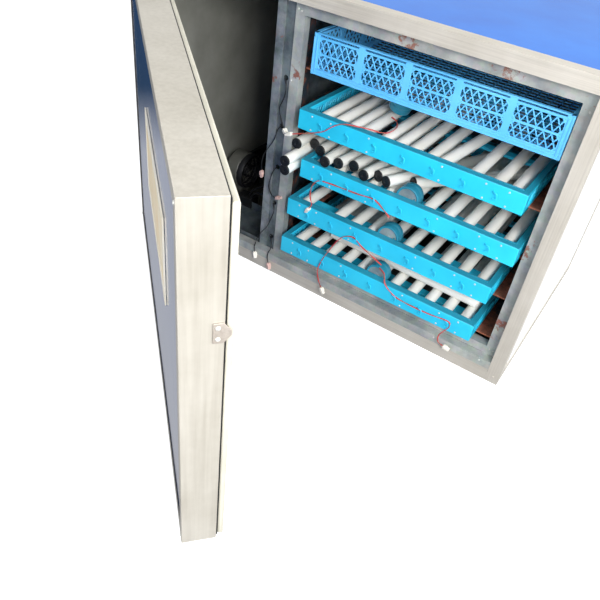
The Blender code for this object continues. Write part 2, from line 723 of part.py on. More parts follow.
def smooth_route(points, count):
    """Evenly spread points on a Catmull-Rom curve through a route's own points."""
    points = [Vector(p) for p in points]
    points = [2 * points[0] - points[1]] + points + [2 * points[-1] - points[-2]]
    spans = len(points) - 3
    route = []
    for step in range(count):
        where = spans * step / (count - 1)
        first = min(int(where), spans - 1)
        t = where - first
        a, b, c, d = points[first : first + 4]
        curve = 2 * b + (c - a) * t + (2 * a - 5 * b + 4 * c - d) * t**2
        route.append((curve + (3 * b - a - 3 * c + d) * t**3) / 2)
    return route


LEADS = {
    "tray_2_lead": (
        (0.1390, -0.0060, 0.2660),
        (0.1280, -0.0060, 0.2750),
        (0.1020, -0.0075, 0.2915),
        (0.0690, -0.0070, 0.2880),
        (0.0350, -0.0075, 0.2870),
        (0.0010, -0.0070, 0.2850),
        (-0.0250, -0.0080, 0.2810),
        (-0.0370, -0.0090, 0.2640),
        (-0.0380, -0.0090, 0.2400),
        (-0.0330, -0.0080, 0.2230),
        (-0.0380, -0.0070, 0.2110),
    ),
    "tray_3_lead": (
        (0.1450, -0.0060, 0.1560),
        (0.1160, -0.0070, 0.1690),
        (0.0950, -0.0080, 0.1790),
        (0.0740, -0.0080, 0.1905),
        (0.0540, -0.0090, 0.1840),
        (0.0380, -0.0090, 0.1640),
        (0.0250, -0.0090, 0.1360),
        (0.0120, -0.0090, 0.1050),
        (0.0040, -0.0085, 0.0720),
        (0.0100, -0.0085, 0.0480),
        (0.0200, -0.0100, 0.0330),
    ),
    "tray_4_lead": (
        (0.1370, 0.0080, 0.1370),
        (0.1540, 0.0000, 0.1330),
        (0.1620, -0.0070, 0.1180),
        (0.1800, -0.0080, 0.1040),
        (0.1950, -0.0080, 0.0980),
        (0.2250, -0.0070, 0.0950),
        (0.2700, -0.0080, 0.0970),
        (0.3090, -0.0080, 0.1010),
        (0.3150, -0.0080, 0.0900),
        (0.3070, -0.0080, 0.0730),
        (0.3000, -0.0070, 0.0570),
        (0.3030, -0.0070, 0.0410),
        (0.3150, -0.0070, 0.0370),
    ),
}
LEAD_RADIUS = 0.0011


def build_lead(name, route):
    curve = bpy.data.curves.new(name, "CURVE")
    curve.dimensions = "3D"
    curve.bevel_depth = LEAD_RADIUS
    curve.bevel_resolution = 2
    curve.use_fill_caps = True
    points = smooth_route([(x, FRONT + y, z) for x, y, z in route], 4 * len(route))
    spline = curve.splines.new("POLY")
    spline.points.add(len(points) - 1)
    for point, spot in zip(spline.points, points):
        point.co = (*spot, 1)
    place(name, curve, "lead_red")


def main():
    build_panels()
    build_front_edges()
    build_edge_frame()
    build_doorway()
    build_runners()
    build_blower()
    build_bay_fittings()
    for name, (floor, left) in TRAYS.items():
        build_tray(name, floor, left)
        build_motor(name, floor, left)
    build_rollers()
    build_spare_rollers()
    build_long_tube()
    build_basket()
    build_door()
    for name, route in LEADS.items():
        build_lead(name, route)


main()
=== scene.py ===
import json
import math

import bmesh
import bpy
from mathutils import Matrix, Vector


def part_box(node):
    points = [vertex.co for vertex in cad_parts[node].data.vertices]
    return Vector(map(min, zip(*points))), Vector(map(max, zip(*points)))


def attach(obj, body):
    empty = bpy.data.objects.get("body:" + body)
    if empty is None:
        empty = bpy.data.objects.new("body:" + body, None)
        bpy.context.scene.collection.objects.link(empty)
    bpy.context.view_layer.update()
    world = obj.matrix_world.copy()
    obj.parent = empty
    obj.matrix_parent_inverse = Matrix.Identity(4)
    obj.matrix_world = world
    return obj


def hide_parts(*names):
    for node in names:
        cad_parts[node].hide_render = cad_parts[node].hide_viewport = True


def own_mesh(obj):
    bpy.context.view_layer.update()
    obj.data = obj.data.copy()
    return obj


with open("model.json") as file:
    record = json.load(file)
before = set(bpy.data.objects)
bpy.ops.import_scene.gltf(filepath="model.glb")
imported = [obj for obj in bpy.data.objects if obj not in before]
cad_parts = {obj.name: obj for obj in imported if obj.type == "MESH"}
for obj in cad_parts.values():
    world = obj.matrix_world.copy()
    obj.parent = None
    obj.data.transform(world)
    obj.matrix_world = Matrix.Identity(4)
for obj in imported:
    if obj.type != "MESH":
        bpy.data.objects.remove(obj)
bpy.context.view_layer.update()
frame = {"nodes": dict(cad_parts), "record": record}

# Places that several pieces share, in metres
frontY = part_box("front_stile_left")[0][1]
joints = {joint["name"]: joint for joint in frame["record"]["behaviour"]["joints"]}
doorTurn = math.radians(joints["door_hinge"]["range_deg"][0])
hingePoint = Vector((*joints["door_hinge"]["pos_m"][:2], 0.0))
doorSpot = Matrix.Translation(hingePoint) @ Matrix.Rotation(doorTurn, 4, "Z")
trayNames = ["tray_1", "tray_2", "tray_3", "tray_4"]


def hexColour(code):
    # sRGB hex to linear
    parts = [int(code[i:i + 2], 16) / 255 for i in (1, 3, 5)]
    return (*(c / 12.92 if c <= 0.04045 else ((c + 0.055) / 1.055) ** 2.4 for c in parts), 1.0)


def grey(value):
    return (value, value, value, 1.0)


def addNode(tree, kind, links=None, stops=(), **settings):
    # one node with its settings, its sockets fed by values or by other sockets, and a ramp's stops
    node = tree.nodes.new("ShaderNode" + kind)
    for key, value in settings.items():
        setattr(node, key, value)
    for key, value in (links or {}).items():
        if isinstance(value, bpy.types.NodeSocket):
            tree.links.new(value, node.inputs[key])
        else:
            node.inputs[key].default_value = value
    for n, (spot, tint) in enumerate(stops):  # hex text, or one number for a grey
        element = node.color_ramp.elements[n] if n < 2 else node.color_ramp.elements.new(spot)
        element.position = spot
        element.color = hexColour(tint) if isinstance(tint, str) else grey(tint)
    return node


def newFinish(name, **sockets):
    mat = bpy.data.materials.new(name)
    mat.use_nodes = True
    tree = mat.node_tree
    shader = tree.nodes["Principled BSDF"]
    for key, value in sockets.items():
        shader.inputs[key.replace("_", " ")].default_value = value
    return mat, tree, shader, addNode(tree, "TexCoord").outputs["Object"]


def feed(tree, shader, colour=None, roughness=None, height=None, strength=0.2, distance=0.0003):
    # the three sockets that every finish drives
    if colour:
        tree.links.new(colour, shader.inputs["Base Color"])
    if roughness:
        tree.links.new(roughness, shader.inputs["Roughness"])
    if height:
        bump = addNode(tree, "Bump", {"Height": height, "Strength": strength, "Distance": distance})
        tree.links.new(bump.outputs["Normal"], shader.inputs["Normal"])


def makeAluminium(name, stretch, light, mid, dark):
    # extruded aluminium: drawn lines 2 to 7 mm apart along the bar, drawn coarse so that they show,
    # with dull hand marks and a soft gloss
    mat, tree, shader, place = newFinish(name, Metallic=0.3)
    along = addNode(tree, "Mapping", {"Vector": place, "Scale": stretch})
    lines = addNode(tree, "TexNoise", {"Vector": along.outputs[0], "Scale": 1.0, "Detail": 3.0,
                                       "Roughness": 0.6})
    marks = addNode(tree, "TexNoise", {"Vector": place, "Scale": 7.0, "Detail": 5.0, "Roughness": 0.65})
    worn = addNode(tree, "ValToRGB", {"Fac": marks.outputs["Fac"]}, [(0.35, light), (0.72, mid)])
    drawn = addNode(tree, "ValToRGB", {"Fac": lines.outputs["Fac"]}, [(0.3, dark), (0.62, light)])
    tone = addNode(tree, "Mix", {0: 0.22, 6: worn.outputs[0], 7: drawn.outputs[0]}, data_type="RGBA")
    gloss = addNode(tree, "ValToRGB", {"Fac": lines.outputs["Fac"]}, [(0.2, 0.36), (0.8, 0.5)])
    feed(tree, shader, tone.outputs[2], gloss.outputs[0], lines.outputs["Fac"], 0.1, 0.0002)
    return mat


def makeGalvanised(name, light, dark, rustFrom, rustSpots=()):
    # hot-dip galvanised steel: zinc spangle of 8 to 12 mm, grey bloom, rust bleeding out at welds
    mat, tree, shader, place = newFinish(name, Metallic=0.35)
    spangle = addNode(tree, "TexVoronoi", {"Vector": place, "Scale": 95.0})
    bloom = addNode(tree, "TexNoise", {"Vector": place, "Scale": 16.0, "Detail": 6.0, "Roughness": 0.65})
    zinc = addNode(tree, "ValToRGB", {"Fac": bloom.outputs["Fac"]}, [(0.32, dark), (0.66, light)])
    facets = addNode(tree, "Mix", {0: 0.05, 6: zinc.outputs[0], 7: spangle.outputs["Color"]},
                     data_type="RGBA", blend_type="OVERLAY")
    scale = addNode(tree, "TexNoise", {"Vector": place, "Scale": 60.0, "Detail": 8.0, "Roughness": 0.75})
    amount = scale.outputs["Fac"]
    for spot, reach in rustSpots:  # rust gathers round each of these points
        away = addNode(tree, "VectorMath", {0: place, 1: spot}, operation="DISTANCE")
        near = addNode(tree, "MapRange", {"Value": away.outputs["Value"], "From Min": 0.0, "From Max": reach,
                                          "To Min": 0.32, "To Max": 0.0})
        more = addNode(tree, "Math", {0: amount, 1: near.outputs[0]}, operation="ADD")
        amount = more.outputs[0]
    mask = addNode(tree, "ValToRGB", {"Fac": amount}, [(rustFrom, 0), (rustFrom + 0.07, 0.9)])
    rust = addNode(tree, "ValToRGB", {"Fac": scale.outputs["Fac"]}, [(0.35, "#5E3A2E"), (0.65, "#A8654F")])
    tone = addNode(tree, "Mix", {0: mask.outputs[0], 6: facets.outputs[2], 7: rust.outputs[0]},
                   data_type="RGBA")
    gloss = addNode(tree, "ValToRGB", {"Fac": bloom.outputs["Fac"]}, [(0.3, 0.34), (0.7, 0.52)])
    feed(tree, shader, tone.outputs[2], gloss.outputs[0], scale.outputs["Fac"], 0.12, 0.0004)
    return mat


def makeRunnerSteel(name, rustX):
    # black mild steel angle: dark mill skin at the back, orange scale on the shelves' open front ends
    mat, tree, shader, place = newFinish(name, Metallic=0.35)
    scale = addNode(tree, "TexNoise", {"Vector": place, "Scale": 55.0, "Detail": 8.0, "Roughness": 0.72})
    split = addNode(tree, "SeparateXYZ", {0: place})
    depth = addNode(tree, "MapRange", {"Value": split.outputs[1], "From Min": frontY + 0.04,
                                       "From Max": frontY + 0.2, "To Min": 0.34, "To Max": -0.12})
    low, high = rustX
    inward = addNode(tree, "MapRange", {"Value": split.outputs[0], "From Min": low, "From Max": high})
    here = addNode(tree, "Math", {0: depth.outputs[0], 1: inward.outputs[0]}, operation="MULTIPLY")
    amount = addNode(tree, "Math", {0: scale.outputs["Fac"], 1: here.outputs[0]}, operation="ADD")
    tone = addNode(tree, "ValToRGB", {"Fac": amount.outputs[0]}, [
        (0.5, "#2A3034"), (0.6, "#6A4234"), (0.86, "#B06A50")])
    gloss = addNode(tree, "ValToRGB", {"Fac": amount.outputs[0]}, [(0.45, 0.45), (0.65, 0.85)])
    feed(tree, shader, tone.outputs[0], gloss.outputs[0], scale.outputs["Fac"], 0.4, 0.0006)
    return mat


def makePanelSkin(name, outer, inner, axis, edge, inwards, roughness=0.38, coat=0.0):
    # prepainted steel skin outside, bare grey zinc liner inside, its colour darkened as painted shade of the
    # cabinet's unlit inside; the sheet dishes a little between edges
    mat, tree, shader, place = newFinish(name, Coat_Weight=coat, Coat_Roughness=0.06)
    split = addNode(tree, "SeparateXYZ", {0: place})
    side = addNode(tree, "Math", {0: split.outputs[axis], 1: edge},
                   operation="LESS_THAN" if inwards < 0 else "GREATER_THAN")
    mottle = addNode(tree, "TexNoise", {"Vector": place, "Scale": 5.0, "Detail": 5.0, "Roughness": 0.6})
    skin = addNode(tree, "ValToRGB", {"Fac": mottle.outputs["Fac"]}, [(0.3, outer[0]), (0.75, outer[1])])
    linerAndShade = addNode(tree, "ValToRGB", {"Fac": mottle.outputs["Fac"]}, [(0.3, inner[0]), (0.7, inner[1])])
    tone = addNode(tree, "Mix", {0: side.outputs[0], 6: skin.outputs[0], 7: linerAndShade.outputs[0]},
                   data_type="RGBA")
    gloss = addNode(tree, "Mix", {0: side.outputs[0], 6: grey(roughness), 7: grey(0.42)}, data_type="RGBA")
    dish = addNode(tree, "TexNoise", {"Vector": place, "Scale": 9.0, "Detail": 2.0, "Roughness": 0.5})
    feed(tree, shader, tone.outputs[2], gloss.outputs[2], dish.outputs["Fac"], 0.25, 0.004)
    return mat


def makePlastic(name, light, dark, roughness):
    # moulded plastic: slow flow marks, a tool texture drawn at 1.5 mm so that it shows, half-gloss skin
    mat, tree, shader, place = newFinish(name, IOR=1.49)
    flow = addNode(tree, "TexNoise", {"Vector": place, "Scale": 12.0, "Detail": 4.0, "Roughness": 0.55})
    fine = addNode(tree, "TexNoise", {"Vector": place, "Scale": 700.0, "Detail": 2.0, "Roughness": 0.5})
    tone = addNode(tree, "ValToRGB", {"Fac": flow.outputs["Fac"]}, [(0.32, light), (0.72, dark)])
    gloss = addNode(tree, "ValToRGB", {"Fac": flow.outputs["Fac"]}, [
        (0.25, roughness - 0.05), (0.75, roughness + 0.08)])
    feed(tree, shader, tone.outputs[0], gloss.outputs[0], fine.outputs["Fac"], 0.1, 0.0002)
    return mat


def makeAcrylic():
    # acrylic sheet tinted pale yellow as a painted warm reflection, with a faint haze of fine scratches
    mat, tree, shader, place = newFinish("acrylicWarmReflectionTint", Specular_IOR_Level=0.15, IOR=1.49)
    haze = addNode(tree, "TexNoise", {"Vector": place, "Scale": 18.0, "Detail": 6.0, "Roughness": 0.6})
    tone = addNode(tree, "ValToRGB", {"Fac": haze.outputs["Fac"]}, [(0.3, "#FBEFD6"), (0.7, "#F6E0B8")])
    gloss = addNode(tree, "ValToRGB", {"Fac": haze.outputs["Fac"]}, [(0.2, 0.6), (0.8, 0.72)])
    feed(tree, shader, tone.outputs[0], gloss.outputs[0])
    return mat


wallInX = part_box("right_wall_panel")[0][0]
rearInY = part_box("rear_wall_panel")[0][1]
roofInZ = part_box("roof_panel")[0][2]
whiteSkin = ("#F4F6F7", "#ECEFF1")
blueSkin = ("#1C7ADC", "#1264C6")
# inner liner colour: grey zinc sheet darkened as painted shade of the cabinet's inside
linerWithPaintedShade = ("#3E4A4E", "#2A3438")
postLow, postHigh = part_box("tray_frame")
rustSpots = [
    ((postLow[0] + 0.016, postLow[1], 0.462), 0.05),
    ((postHigh[0] - 0.02, postLow[1], postHigh[2] - 0.024), 0.035),
    ((0.1, postLow[1], postHigh[2] - 0.02), 0.08),
    ((0.27, postLow[1], postHigh[2] - 0.02), 0.09),
    ((postHigh[0] - 0.018, postLow[1], 0.12), 0.07),
    ((postHigh[0] - 0.018, postLow[1], 0.3), 0.06),
]
finishes = {
    "upright": makeAluminium(
        "extrudedAluminiumUpright", (420.0, 420.0, 5.0), "#D3CDC2", "#BDB6A9", "#8F897D"),
    "level": makeAluminium("extrudedAluminiumLevel", (5.0, 420.0, 420.0), "#D3CDC2", "#BDB6A9", "#8F897D"),
    "doorEdge": makeAluminium("extrudedAluminiumDoor", (150.0, 150.0, 5.0), "#C6C1B6", "#B0AA9D", "#8D8678"),
    "zinc": makeGalvanised("hotDipGalvanisedTube", "#C6C8C1", "#8C9394", 0.76, rustSpots),
    "zincDark": makeGalvanised("hotDipGalvanisedSheet", "#7E888B", "#3F484C", 0.78),
    "post": makeGalvanised("hotDipGalvanisedPost", "#A3ABAD", "#4A5357", 0.74, [
        ((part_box("divider_post")[0][0], frontY + 0.02, 0.44), 0.03),
        ((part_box("divider_post")[0][0], frontY + 0.02, 0.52), 0.03)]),
    "runnerLeft": makeRunnerSteel("mildSteelRunnerLeft", (-0.1135, -0.1095)),
    "runnerRight": makeRunnerSteel("mildSteelRunnerRight", (0.3955, 0.392)),
    "wallRight": makePanelSkin("prepaintedSteelRight", whiteSkin, linerWithPaintedShade, 0, wallInX + 0.001, -1),
    # left wall's inner grey: grey sheet darkened as painted shade of the blower bay
    "wallLeft": makePanelSkin("prepaintedSteelLeft", whiteSkin, ("#92928A", "#6E6E66"), 0, -wallInX - 0.001,
                              1),
    "wallRear": makePanelSkin("prepaintedSteelRear", whiteSkin, linerWithPaintedShade, 1, rearInY + 0.001, -1),
    "roof": makePanelSkin("prepaintedSteelRoof", blueSkin, linerWithPaintedShade, 2, roofInZ + 0.001, -1, 0.2, 0.15),
    # base's inner grey: the bay floor sheet darkened as painted shade
    "base": makePanelSkin("prepaintedSteelBase", whiteSkin, ("#5C5C54", "#45453E"), 2, 0.02, 1),
    "doorSkin": makePanelSkin("prepaintedSteelDoor", ("#244F8C", "#1D447C"), linerWithPaintedShade, 2, -1.0, -1, 0.1,
                              0.5),
    "tray": makePlastic("mouldedPolypropyleneCyan", "#2CCDF0", "#20BBE2", 0.38),
    # darker teal for the trays' rim tops and lips: painted shade under the basket and roof
    "trayRim": makePlastic("mouldedPolypropyleneRimPaintedShade", "#2898B2", "#1F86A2", 0.42),
    "basket": makePlastic("mouldedPolyethyleneBlue", "#6CC4FA", "#55B2EE", 0.4),
    "roller": makePlastic("extrudedPvcWhite", "#F6F4EE", "#E8E5DB", 0.34),
    "rollerCap": makePlastic("mouldedNylonBlack", "#16191B", "#0C0E0F", 0.45),
    "motor": makePlastic("mouldedAbsTeal", "#2A8EA8", "#1F7791", 0.42),
    "motorFace": makeGalvanised("zincPlatedMotorFace", "#A9B4B6", "#6E7C80", 0.9),
    "plated": makeAluminium("nickelPlatedSteel", (300.0, 300.0, 300.0), "#B9B0A6", "#94897E", "#6B6259"),
    "sheath": makeAluminium("stainlessSheath", (300.0, 300.0, 300.0), "#8C8E90", "#6C6E70", "#4C4E50"),
    "blower": makePlastic("mouldedAbsGrey", "#6A6A62", "#55554E", 0.45),
    "black": makePlastic("mouldedAbsBlack", "#1A1B1C", "#101112", 0.5),
    "surround": makePlastic("mouldedAbsCream", "#FBF6EA", "#F4EAD2", 0.7),
    "lip": makePlastic("extrudedPvcCream", "#C9C5B6", "#B4B1A2", 0.5),
    "connector": makePlastic("mouldedNylonWhite", "#F4F0E6", "#E2DCCE", 0.4),
    "connectorPink": makePlastic("mouldedNylonPink", "#D9B9B0", "#C09A90", 0.4),
    "redWire": makePlastic("pvcWireRed", "#DD3B47", "#C42E38", 0.42),
    "brownWire": makePlastic("pvcWireBrown", "#AE5C44", "#8F4836", 0.45),
    "blackWire": makePlastic("pvcWireBlack", "#15181A", "#0C0E0F", 0.45),
    "screw": makeAluminium("zincPlatedScrew", (500.0, 500.0, 500.0), "#E2E2DC", "#C0C0BA", "#9A9A94"),
    "acrylic": makeAcrylic(),
}
print("finishes ready")


# the camera, then each lamp: place, target, size, power
studio = {
    "camera": (0.5369, -1.2798, 0.9191), "lens": 39.07, "right": (0.8225, 0.559, 0.1052), "up": (-0.4254,
                                                                                                 0.4819,
                                                                                                 0.7661),
    "key": ((1.55, -1.75, 1.35), (0.1, -0.3, 0.28), 0.8, 52.0),
    "fill": ((0.35, -2.2, 0.95), (0.12, -0.2, 0.22), 1.5, 17.0),
    "side": ((2.4, -0.2, 1.0), (0.44, -0.1, 0.25), 1.2, 46.0),
    "top": ((0.2, 0.3, 2.4), (0.0, 0.0, 0.6), 1.5, 12.0),
}


def setCamera():
    data = bpy.data.cameras.new("studioCamera")
    data.lens = studio["lens"]
    data.sensor_width = 36.0
    data.clip_start = 0.02
    right, up = Vector(studio["right"]).normalized(), Vector(studio["up"]).normalized()
    back = right.cross(up).normalized()
    camera = bpy.data.objects.new("studioCamera", data)
    spot = Matrix((right, back.cross(right), back)).transposed().to_4x4()
    spot.translation = Vector(studio["camera"])
    camera.matrix_world = spot
    bpy.context.scene.collection.objects.link(camera)
    bpy.context.scene.camera = camera


def setLights():
    world = bpy.data.worlds.new("studioAir")
    world.use_nodes = True
    tree = world.node_tree
    # bright above, dark near the ground and pale straight below, as a room with a pale floor gives
    aim = addNode(tree, "TexCoord")
    split = addNode(tree, "SeparateXYZ", {0: aim.outputs["Generated"]})
    spread = addNode(tree, "MapRange", {"Value": split.outputs[2], "From Min": -1.0, "From Max": 1.0})
    air = addNode(tree, "ValToRGB", {"Fac": spread.outputs[0]}, [
        (0.0, "#C9C9CB"), (0.27, "#BCC0CB"), (0.31, "#33465C"), (0.42, "#2E4668"),
        (0.46, "#8C98A4"), (0.52, "#C8CDD2"), (1.0, "#FFFFFF")])
    tree.links.new(air.outputs[0], tree.nodes["Background"].inputs["Color"])
    tree.nodes["Background"].inputs["Strength"].default_value = 0.85
    bpy.context.scene.world = world
    bpy.context.scene.view_settings.view_transform = "Standard"
    for name in ("key", "fill", "side", "top"):
        place, target, size, power = studio[name]
        data = bpy.data.lights.new(f"{name}Light", "AREA")
        data.size = size
        data.energy = power
        lamp = bpy.data.objects.new(f"{name}Light", data)
        lamp.location = place
        lamp.rotation_euler = (Vector(target) - Vector(place)).to_track_quat("-Z", "Y").to_euler()
        bpy.context.scene.collection.objects.link(lamp)


def setFloor():
    # pale floor with soft contact shadows; it throws no light back on the object
    bm = bmesh.new()
    bmesh.ops.create_grid(bm, x_segments=1, y_segments=1, size=6.0)
    mat, tree, shader, place = newFinish("paleFloor", Roughness=0.9, Emission_Color=grey(1.0),
                                         Emission_Strength=0.62)
    cloud = addNode(tree, "TexNoise", {"Vector": place, "Scale": 3.0})
    tone = addNode(tree, "ValToRGB", {"Fac": cloud.outputs["Fac"]}, [(0.0, "#DDDDDD"), (1.0, "#D8D8D8")])
    feed(tree, shader, tone.outputs[0])
    mesh = bpy.data.meshes.new("paleFloor")
    bm.to_mesh(mesh)
    bm.free()
    mesh.materials.append(mat)
    floor = bpy.data.objects.new("paleFloor", mesh)
    floor.visible_diffuse = False
    floor.visible_glossy = False
    floor.visible_shadow = False
    bpy.context.scene.collection.objects.link(floor)


setCamera()
setLights()
setFloor()
print("camera, lights and floor ready")


def boxInto(bm, low, high, spot=None):
    verts = bmesh.ops.create_cube(bm, size=1.0)["verts"]
    low, high = Vector(low), Vector(high)
    bmesh.ops.scale(bm, vec=high - low, verts=verts)
    bmesh.ops.translate(bm, vec=(low + high) / 2, verts=verts)
    if spot:
        bmesh.ops.transform(bm, matrix=spot, verts=verts)
    return verts


def rodInto(bm, start, end, radius, sides=24, endRadius=None):
    start, end = Vector(start), Vector(end)
    turn = (end - start).to_track_quat("Z", "Y").to_matrix().to_4x4()
    return bmesh.ops.create_cone(
        bm, cap_ends=True, segments=sides, radius1=radius, radius2=radius if endRadius is None else endRadius,
        depth=(end - start).length, matrix=Matrix.Translation((start + end) / 2) @ turn)["verts"]


def mergeInto(bm, part, finish=0):
    # adds a finished part to a piece, in one of the piece's finishes
    bmesh.ops.recalc_face_normals(part, faces=part.faces)
    for face in part.faces:
        face.material_index = finish
    mesh = bpy.data.meshes.new("part")
    part.to_mesh(mesh)
    part.free()
    bm.from_mesh(mesh)
    bpy.data.meshes.remove(mesh)


def turnedInto(bm, profile, origin, axis, steps=32, finish=0):
    # a closed (radius, height) profile spun once round its axis
    part = bmesh.new()
    verts = [part.verts.new((radius, 0, height)) for radius, height in profile]
    edges = [part.edges.new(pair) for pair in zip(verts, verts[1:])]
    bmesh.ops.spin(part, geom=verts + edges, cent=(0, 0, 0), axis=(0, 0, 1), angle=math.tau, steps=steps,
                   use_merge=True)
    bmesh.ops.remove_doubles(part, verts=part.verts, dist=1e-5)
    turn = Vector(axis).to_track_quat("Z", "Y").to_matrix().to_4x4()
    bmesh.ops.transform(part, matrix=Matrix.Translation(origin) @ turn, verts=part.verts)
    mergeInto(bm, part, finish)


def barInto(bm, start, end, width, depth, outward):
    # flat bar from start to end: width across, depth along outward
    start, end, outward = Vector(start), Vector(end), Vector(outward)
    along = (end - start).normalized()
    across = outward.cross(along).normalized()
    spot = Matrix((across, outward, along)).transposed().to_4x4()
    spot.translation = (start + end) / 2
    half = (end - start).length / 2
    return boxInto(bm, (-width / 2, -depth / 2, -half), (width / 2, depth / 2, half), spot)


def ringInto(bm, x0, x1, z0, z1, bar, y0, y1):
    # picture frame: a slab whose front and back are inset, and the two openings bridged
    verts = boxInto(bm, (x0, y0, z0), (x1, y1, z1))
    caps = [face for face in {f for v in verts for f in v.link_faces} if abs(face.normal.y) > 0.9]
    bmesh.ops.inset_individual(bm, faces=caps, thickness=bar)
    loops = [edge for face in caps for edge in face.edges]
    bmesh.ops.delete(bm, geom=caps, context="FACES_ONLY")
    bmesh.ops.bridge_loops(bm, edges=loops)


def smoothRoute(points, count):
    # evenly spread points on a Catmull-Rom curve through the route's own points
    points = [Vector(p) for p in points]
    points = [2 * points[0] - points[1]] + points + [2 * points[-1] - points[-2]]
    spans = len(points) - 3
    route = []
    for step in range(count):
        where = spans * step / (count - 1)
        first = min(int(where), spans - 1)
        t = where - first
        a, b, c, d = points[first:first + 4]
        route.append((2 * b + (c - a) * t + (2 * a - 5 * b + 4 * c - d) * t ** 2
                      + (3 * b - a - 3 * c + d) * t ** 3) / 2)
    return route


def sweepInto(bm, path, radius, sides=8, finish=0):
    # round wire: a disc extruded from point to point and turned to follow the path
    path = [Vector(p) for p in path]
    ahead = (path[1] - path[0]).normalized()
    spot = Matrix.Translation(path[0]) @ ahead.to_track_quat("Z", "Y").to_matrix().to_4x4()
    part = bmesh.new()
    ring = bmesh.ops.create_circle(part, cap_ends=True, segments=sides, radius=radius, matrix=spot)["verts"]
    face = ring[0].link_faces[0]
    for n in range(1, len(path)):
        heading = (path[min(n + 1, len(path) - 1)] - path[n - 1]).normalized()
        face = bmesh.ops.extrude_discrete_faces(part, faces=[face])["faces"][0]
        bmesh.ops.translate(part, vec=path[n] - path[n - 1], verts=face.verts)
        swing = ahead.rotation_difference(heading).to_matrix()
        bmesh.ops.rotate(part, cent=path[n], matrix=swing, verts=face.verts)
        ahead = heading
    part.faces.new(ring)
    mergeInto(bm, part, finish)


def pathLength(path):
    return sum((b - a).length for a, b in zip(path, path[1:]))


def finishPiece(name, bm, finish, body, stands=(), bevel=0.0, steps=2, slot=None, seams=True):
    # new piece from a bmesh: its finishes, shading, edge softening, body and the CAD nodes it stands for
    if seams:
        bmesh.ops.recalc_face_normals(bm, faces=bm.faces)
    mesh = bpy.data.meshes.new(name)
    bm.to_mesh(mesh)
    bm.free()
    mesh.shade_smooth()
    mesh.set_sharp_from_angle(angle=math.radians(35))
    for key in [finish] if isinstance(finish, str) else finish:
        mesh.materials.append(finishes[key])
    piece = bpy.data.objects.new(name, mesh)
    bpy.context.scene.collection.objects.link(piece)
    if bevel:
        soften = piece.modifiers.new("soften", "BEVEL")
        soften.width = bevel
        soften.segments = steps
        soften.limit_method = "ANGLE"
        soften.angle_limit = math.radians(40)
    if stands:
        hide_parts(*stands)
    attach(piece, body)
    return piece


# motor leads: twisted pairs hung over the trays' hooks, each to its connector
trayLeads = {
    "width": 0.0022, "strand": 0.00075, "spread": 0.00085, "twists": 3.5,
    "tray_2": (
        (0.139, -0.006, 0.266), (0.128, -0.006, 0.275), (0.102, -0.0075, 0.2915), (0.069, -0.007, 0.288),
        (0.035, -0.0075, 0.287), (0.001, -0.007, 0.285), (-0.025, -0.008, 0.281), (-0.037, -0.009, 0.264),
        (-0.038, -0.009, 0.24), (-0.033, -0.008, 0.223), (-0.038, -0.007, 0.211)),
    "tray_3": (
        (0.145, -0.006, 0.156), (0.116, -0.007, 0.169), (0.095, -0.008, 0.179), (0.074, -0.008, 0.1905),
        (0.054, -0.009, 0.184), (0.038, -0.009, 0.164), (0.025, -0.009, 0.136), (0.012, -0.009, 0.105),
        (0.004, -0.0085, 0.072), (0.01, -0.0085, 0.048), (0.02, -0.01, 0.033)),
    "tray_4": (
        (0.137, 0.008, 0.137), (0.154, 0.0, 0.133), (0.162, -0.007, 0.118), (0.18, -0.008, 0.104),
        (0.195, -0.008, 0.098), (0.225, -0.007, 0.095), (0.27, -0.008, 0.097), (0.309, -0.008, 0.101),
        (0.315, -0.008, 0.09), (0.307, -0.008, 0.073), (0.3, -0.007, 0.057), (0.303, -0.007, 0.041),
        (0.315, -0.007, 0.037)),
}
connectorPlan = {"length": 0.015, "width": 0.009, "thick": 0.0062}


def makeConnector(name, place, direction, body, finish="connector"):
    # two-way crimp housing: body, stepped mouth, two wire barrels and a locking tab
    length, width, thick = connectorPlan["length"], connectorPlan["width"], connectorPlan["thick"]
    turn = Vector(direction).normalized().to_track_quat("X", "Z").to_matrix().to_4x4()
    spot = Matrix.Translation(Vector(place)) @ turn
    bm = bmesh.new()
    boxInto(bm, (0.0008, -width / 2, -thick / 2), (length * 0.62, width / 2, thick / 2), spot)
    boxInto(bm, (length * 0.6, -width * 0.42, -thick * 0.4), (length, width * 0.42, thick * 0.4), spot)
    boxInto(bm, (length * 0.15, -width * 0.12, thick * 0.48), (length * 0.85, width * 0.12, thick * 0.68),
            spot)
    for side in (-1, 1):
        rodInto(bm, spot @ Vector((-0.001, side * width * 0.22, 0)),
                spot @ Vector((0.0012, side * width * 0.22, 0)), 0.0014, 10)
    return finishPiece(name, bm, finish, body, bevel=0.0004)


def makePairLead(name, route, body, node=None, finish=("redWire", "brownWire"), plugFinish="connector"):
    plan = trayLeads
    path = smoothRoute(route, max(16, 4 * len(route)))
    bm = bmesh.new()
    turns = plan["twists"] * pathLength(path) / 0.26
    for strand in (0, 1):
        strandPath = []
        for n, point in enumerate(path):
            turn = math.tau * turns * n / len(path) + math.pi * strand
            part = Vector((0.7 * math.cos(turn), math.sin(turn), 0.7 * math.cos(turn)))
            strandPath.append(point + part * plan["spread"])
        sweepInto(bm, strandPath, plan["strand"], 8, strand)
    piece = finishPiece(name, bm, finish, body, [node] if node else (), slot="lead_red" if node else None)
    plug = makeConnector(f"{name}Connector", path[-1], path[-1] - path[-3], body, plugFinish)
    return piece


for tray in ("tray_2", "tray_3", "tray_4"):
    route = [(x, frontY + depth, z) for x, depth, z in trayLeads[tray]]
    makePairLead(f"{tray}_motorLead", route, tray, f"{tray}_lead")

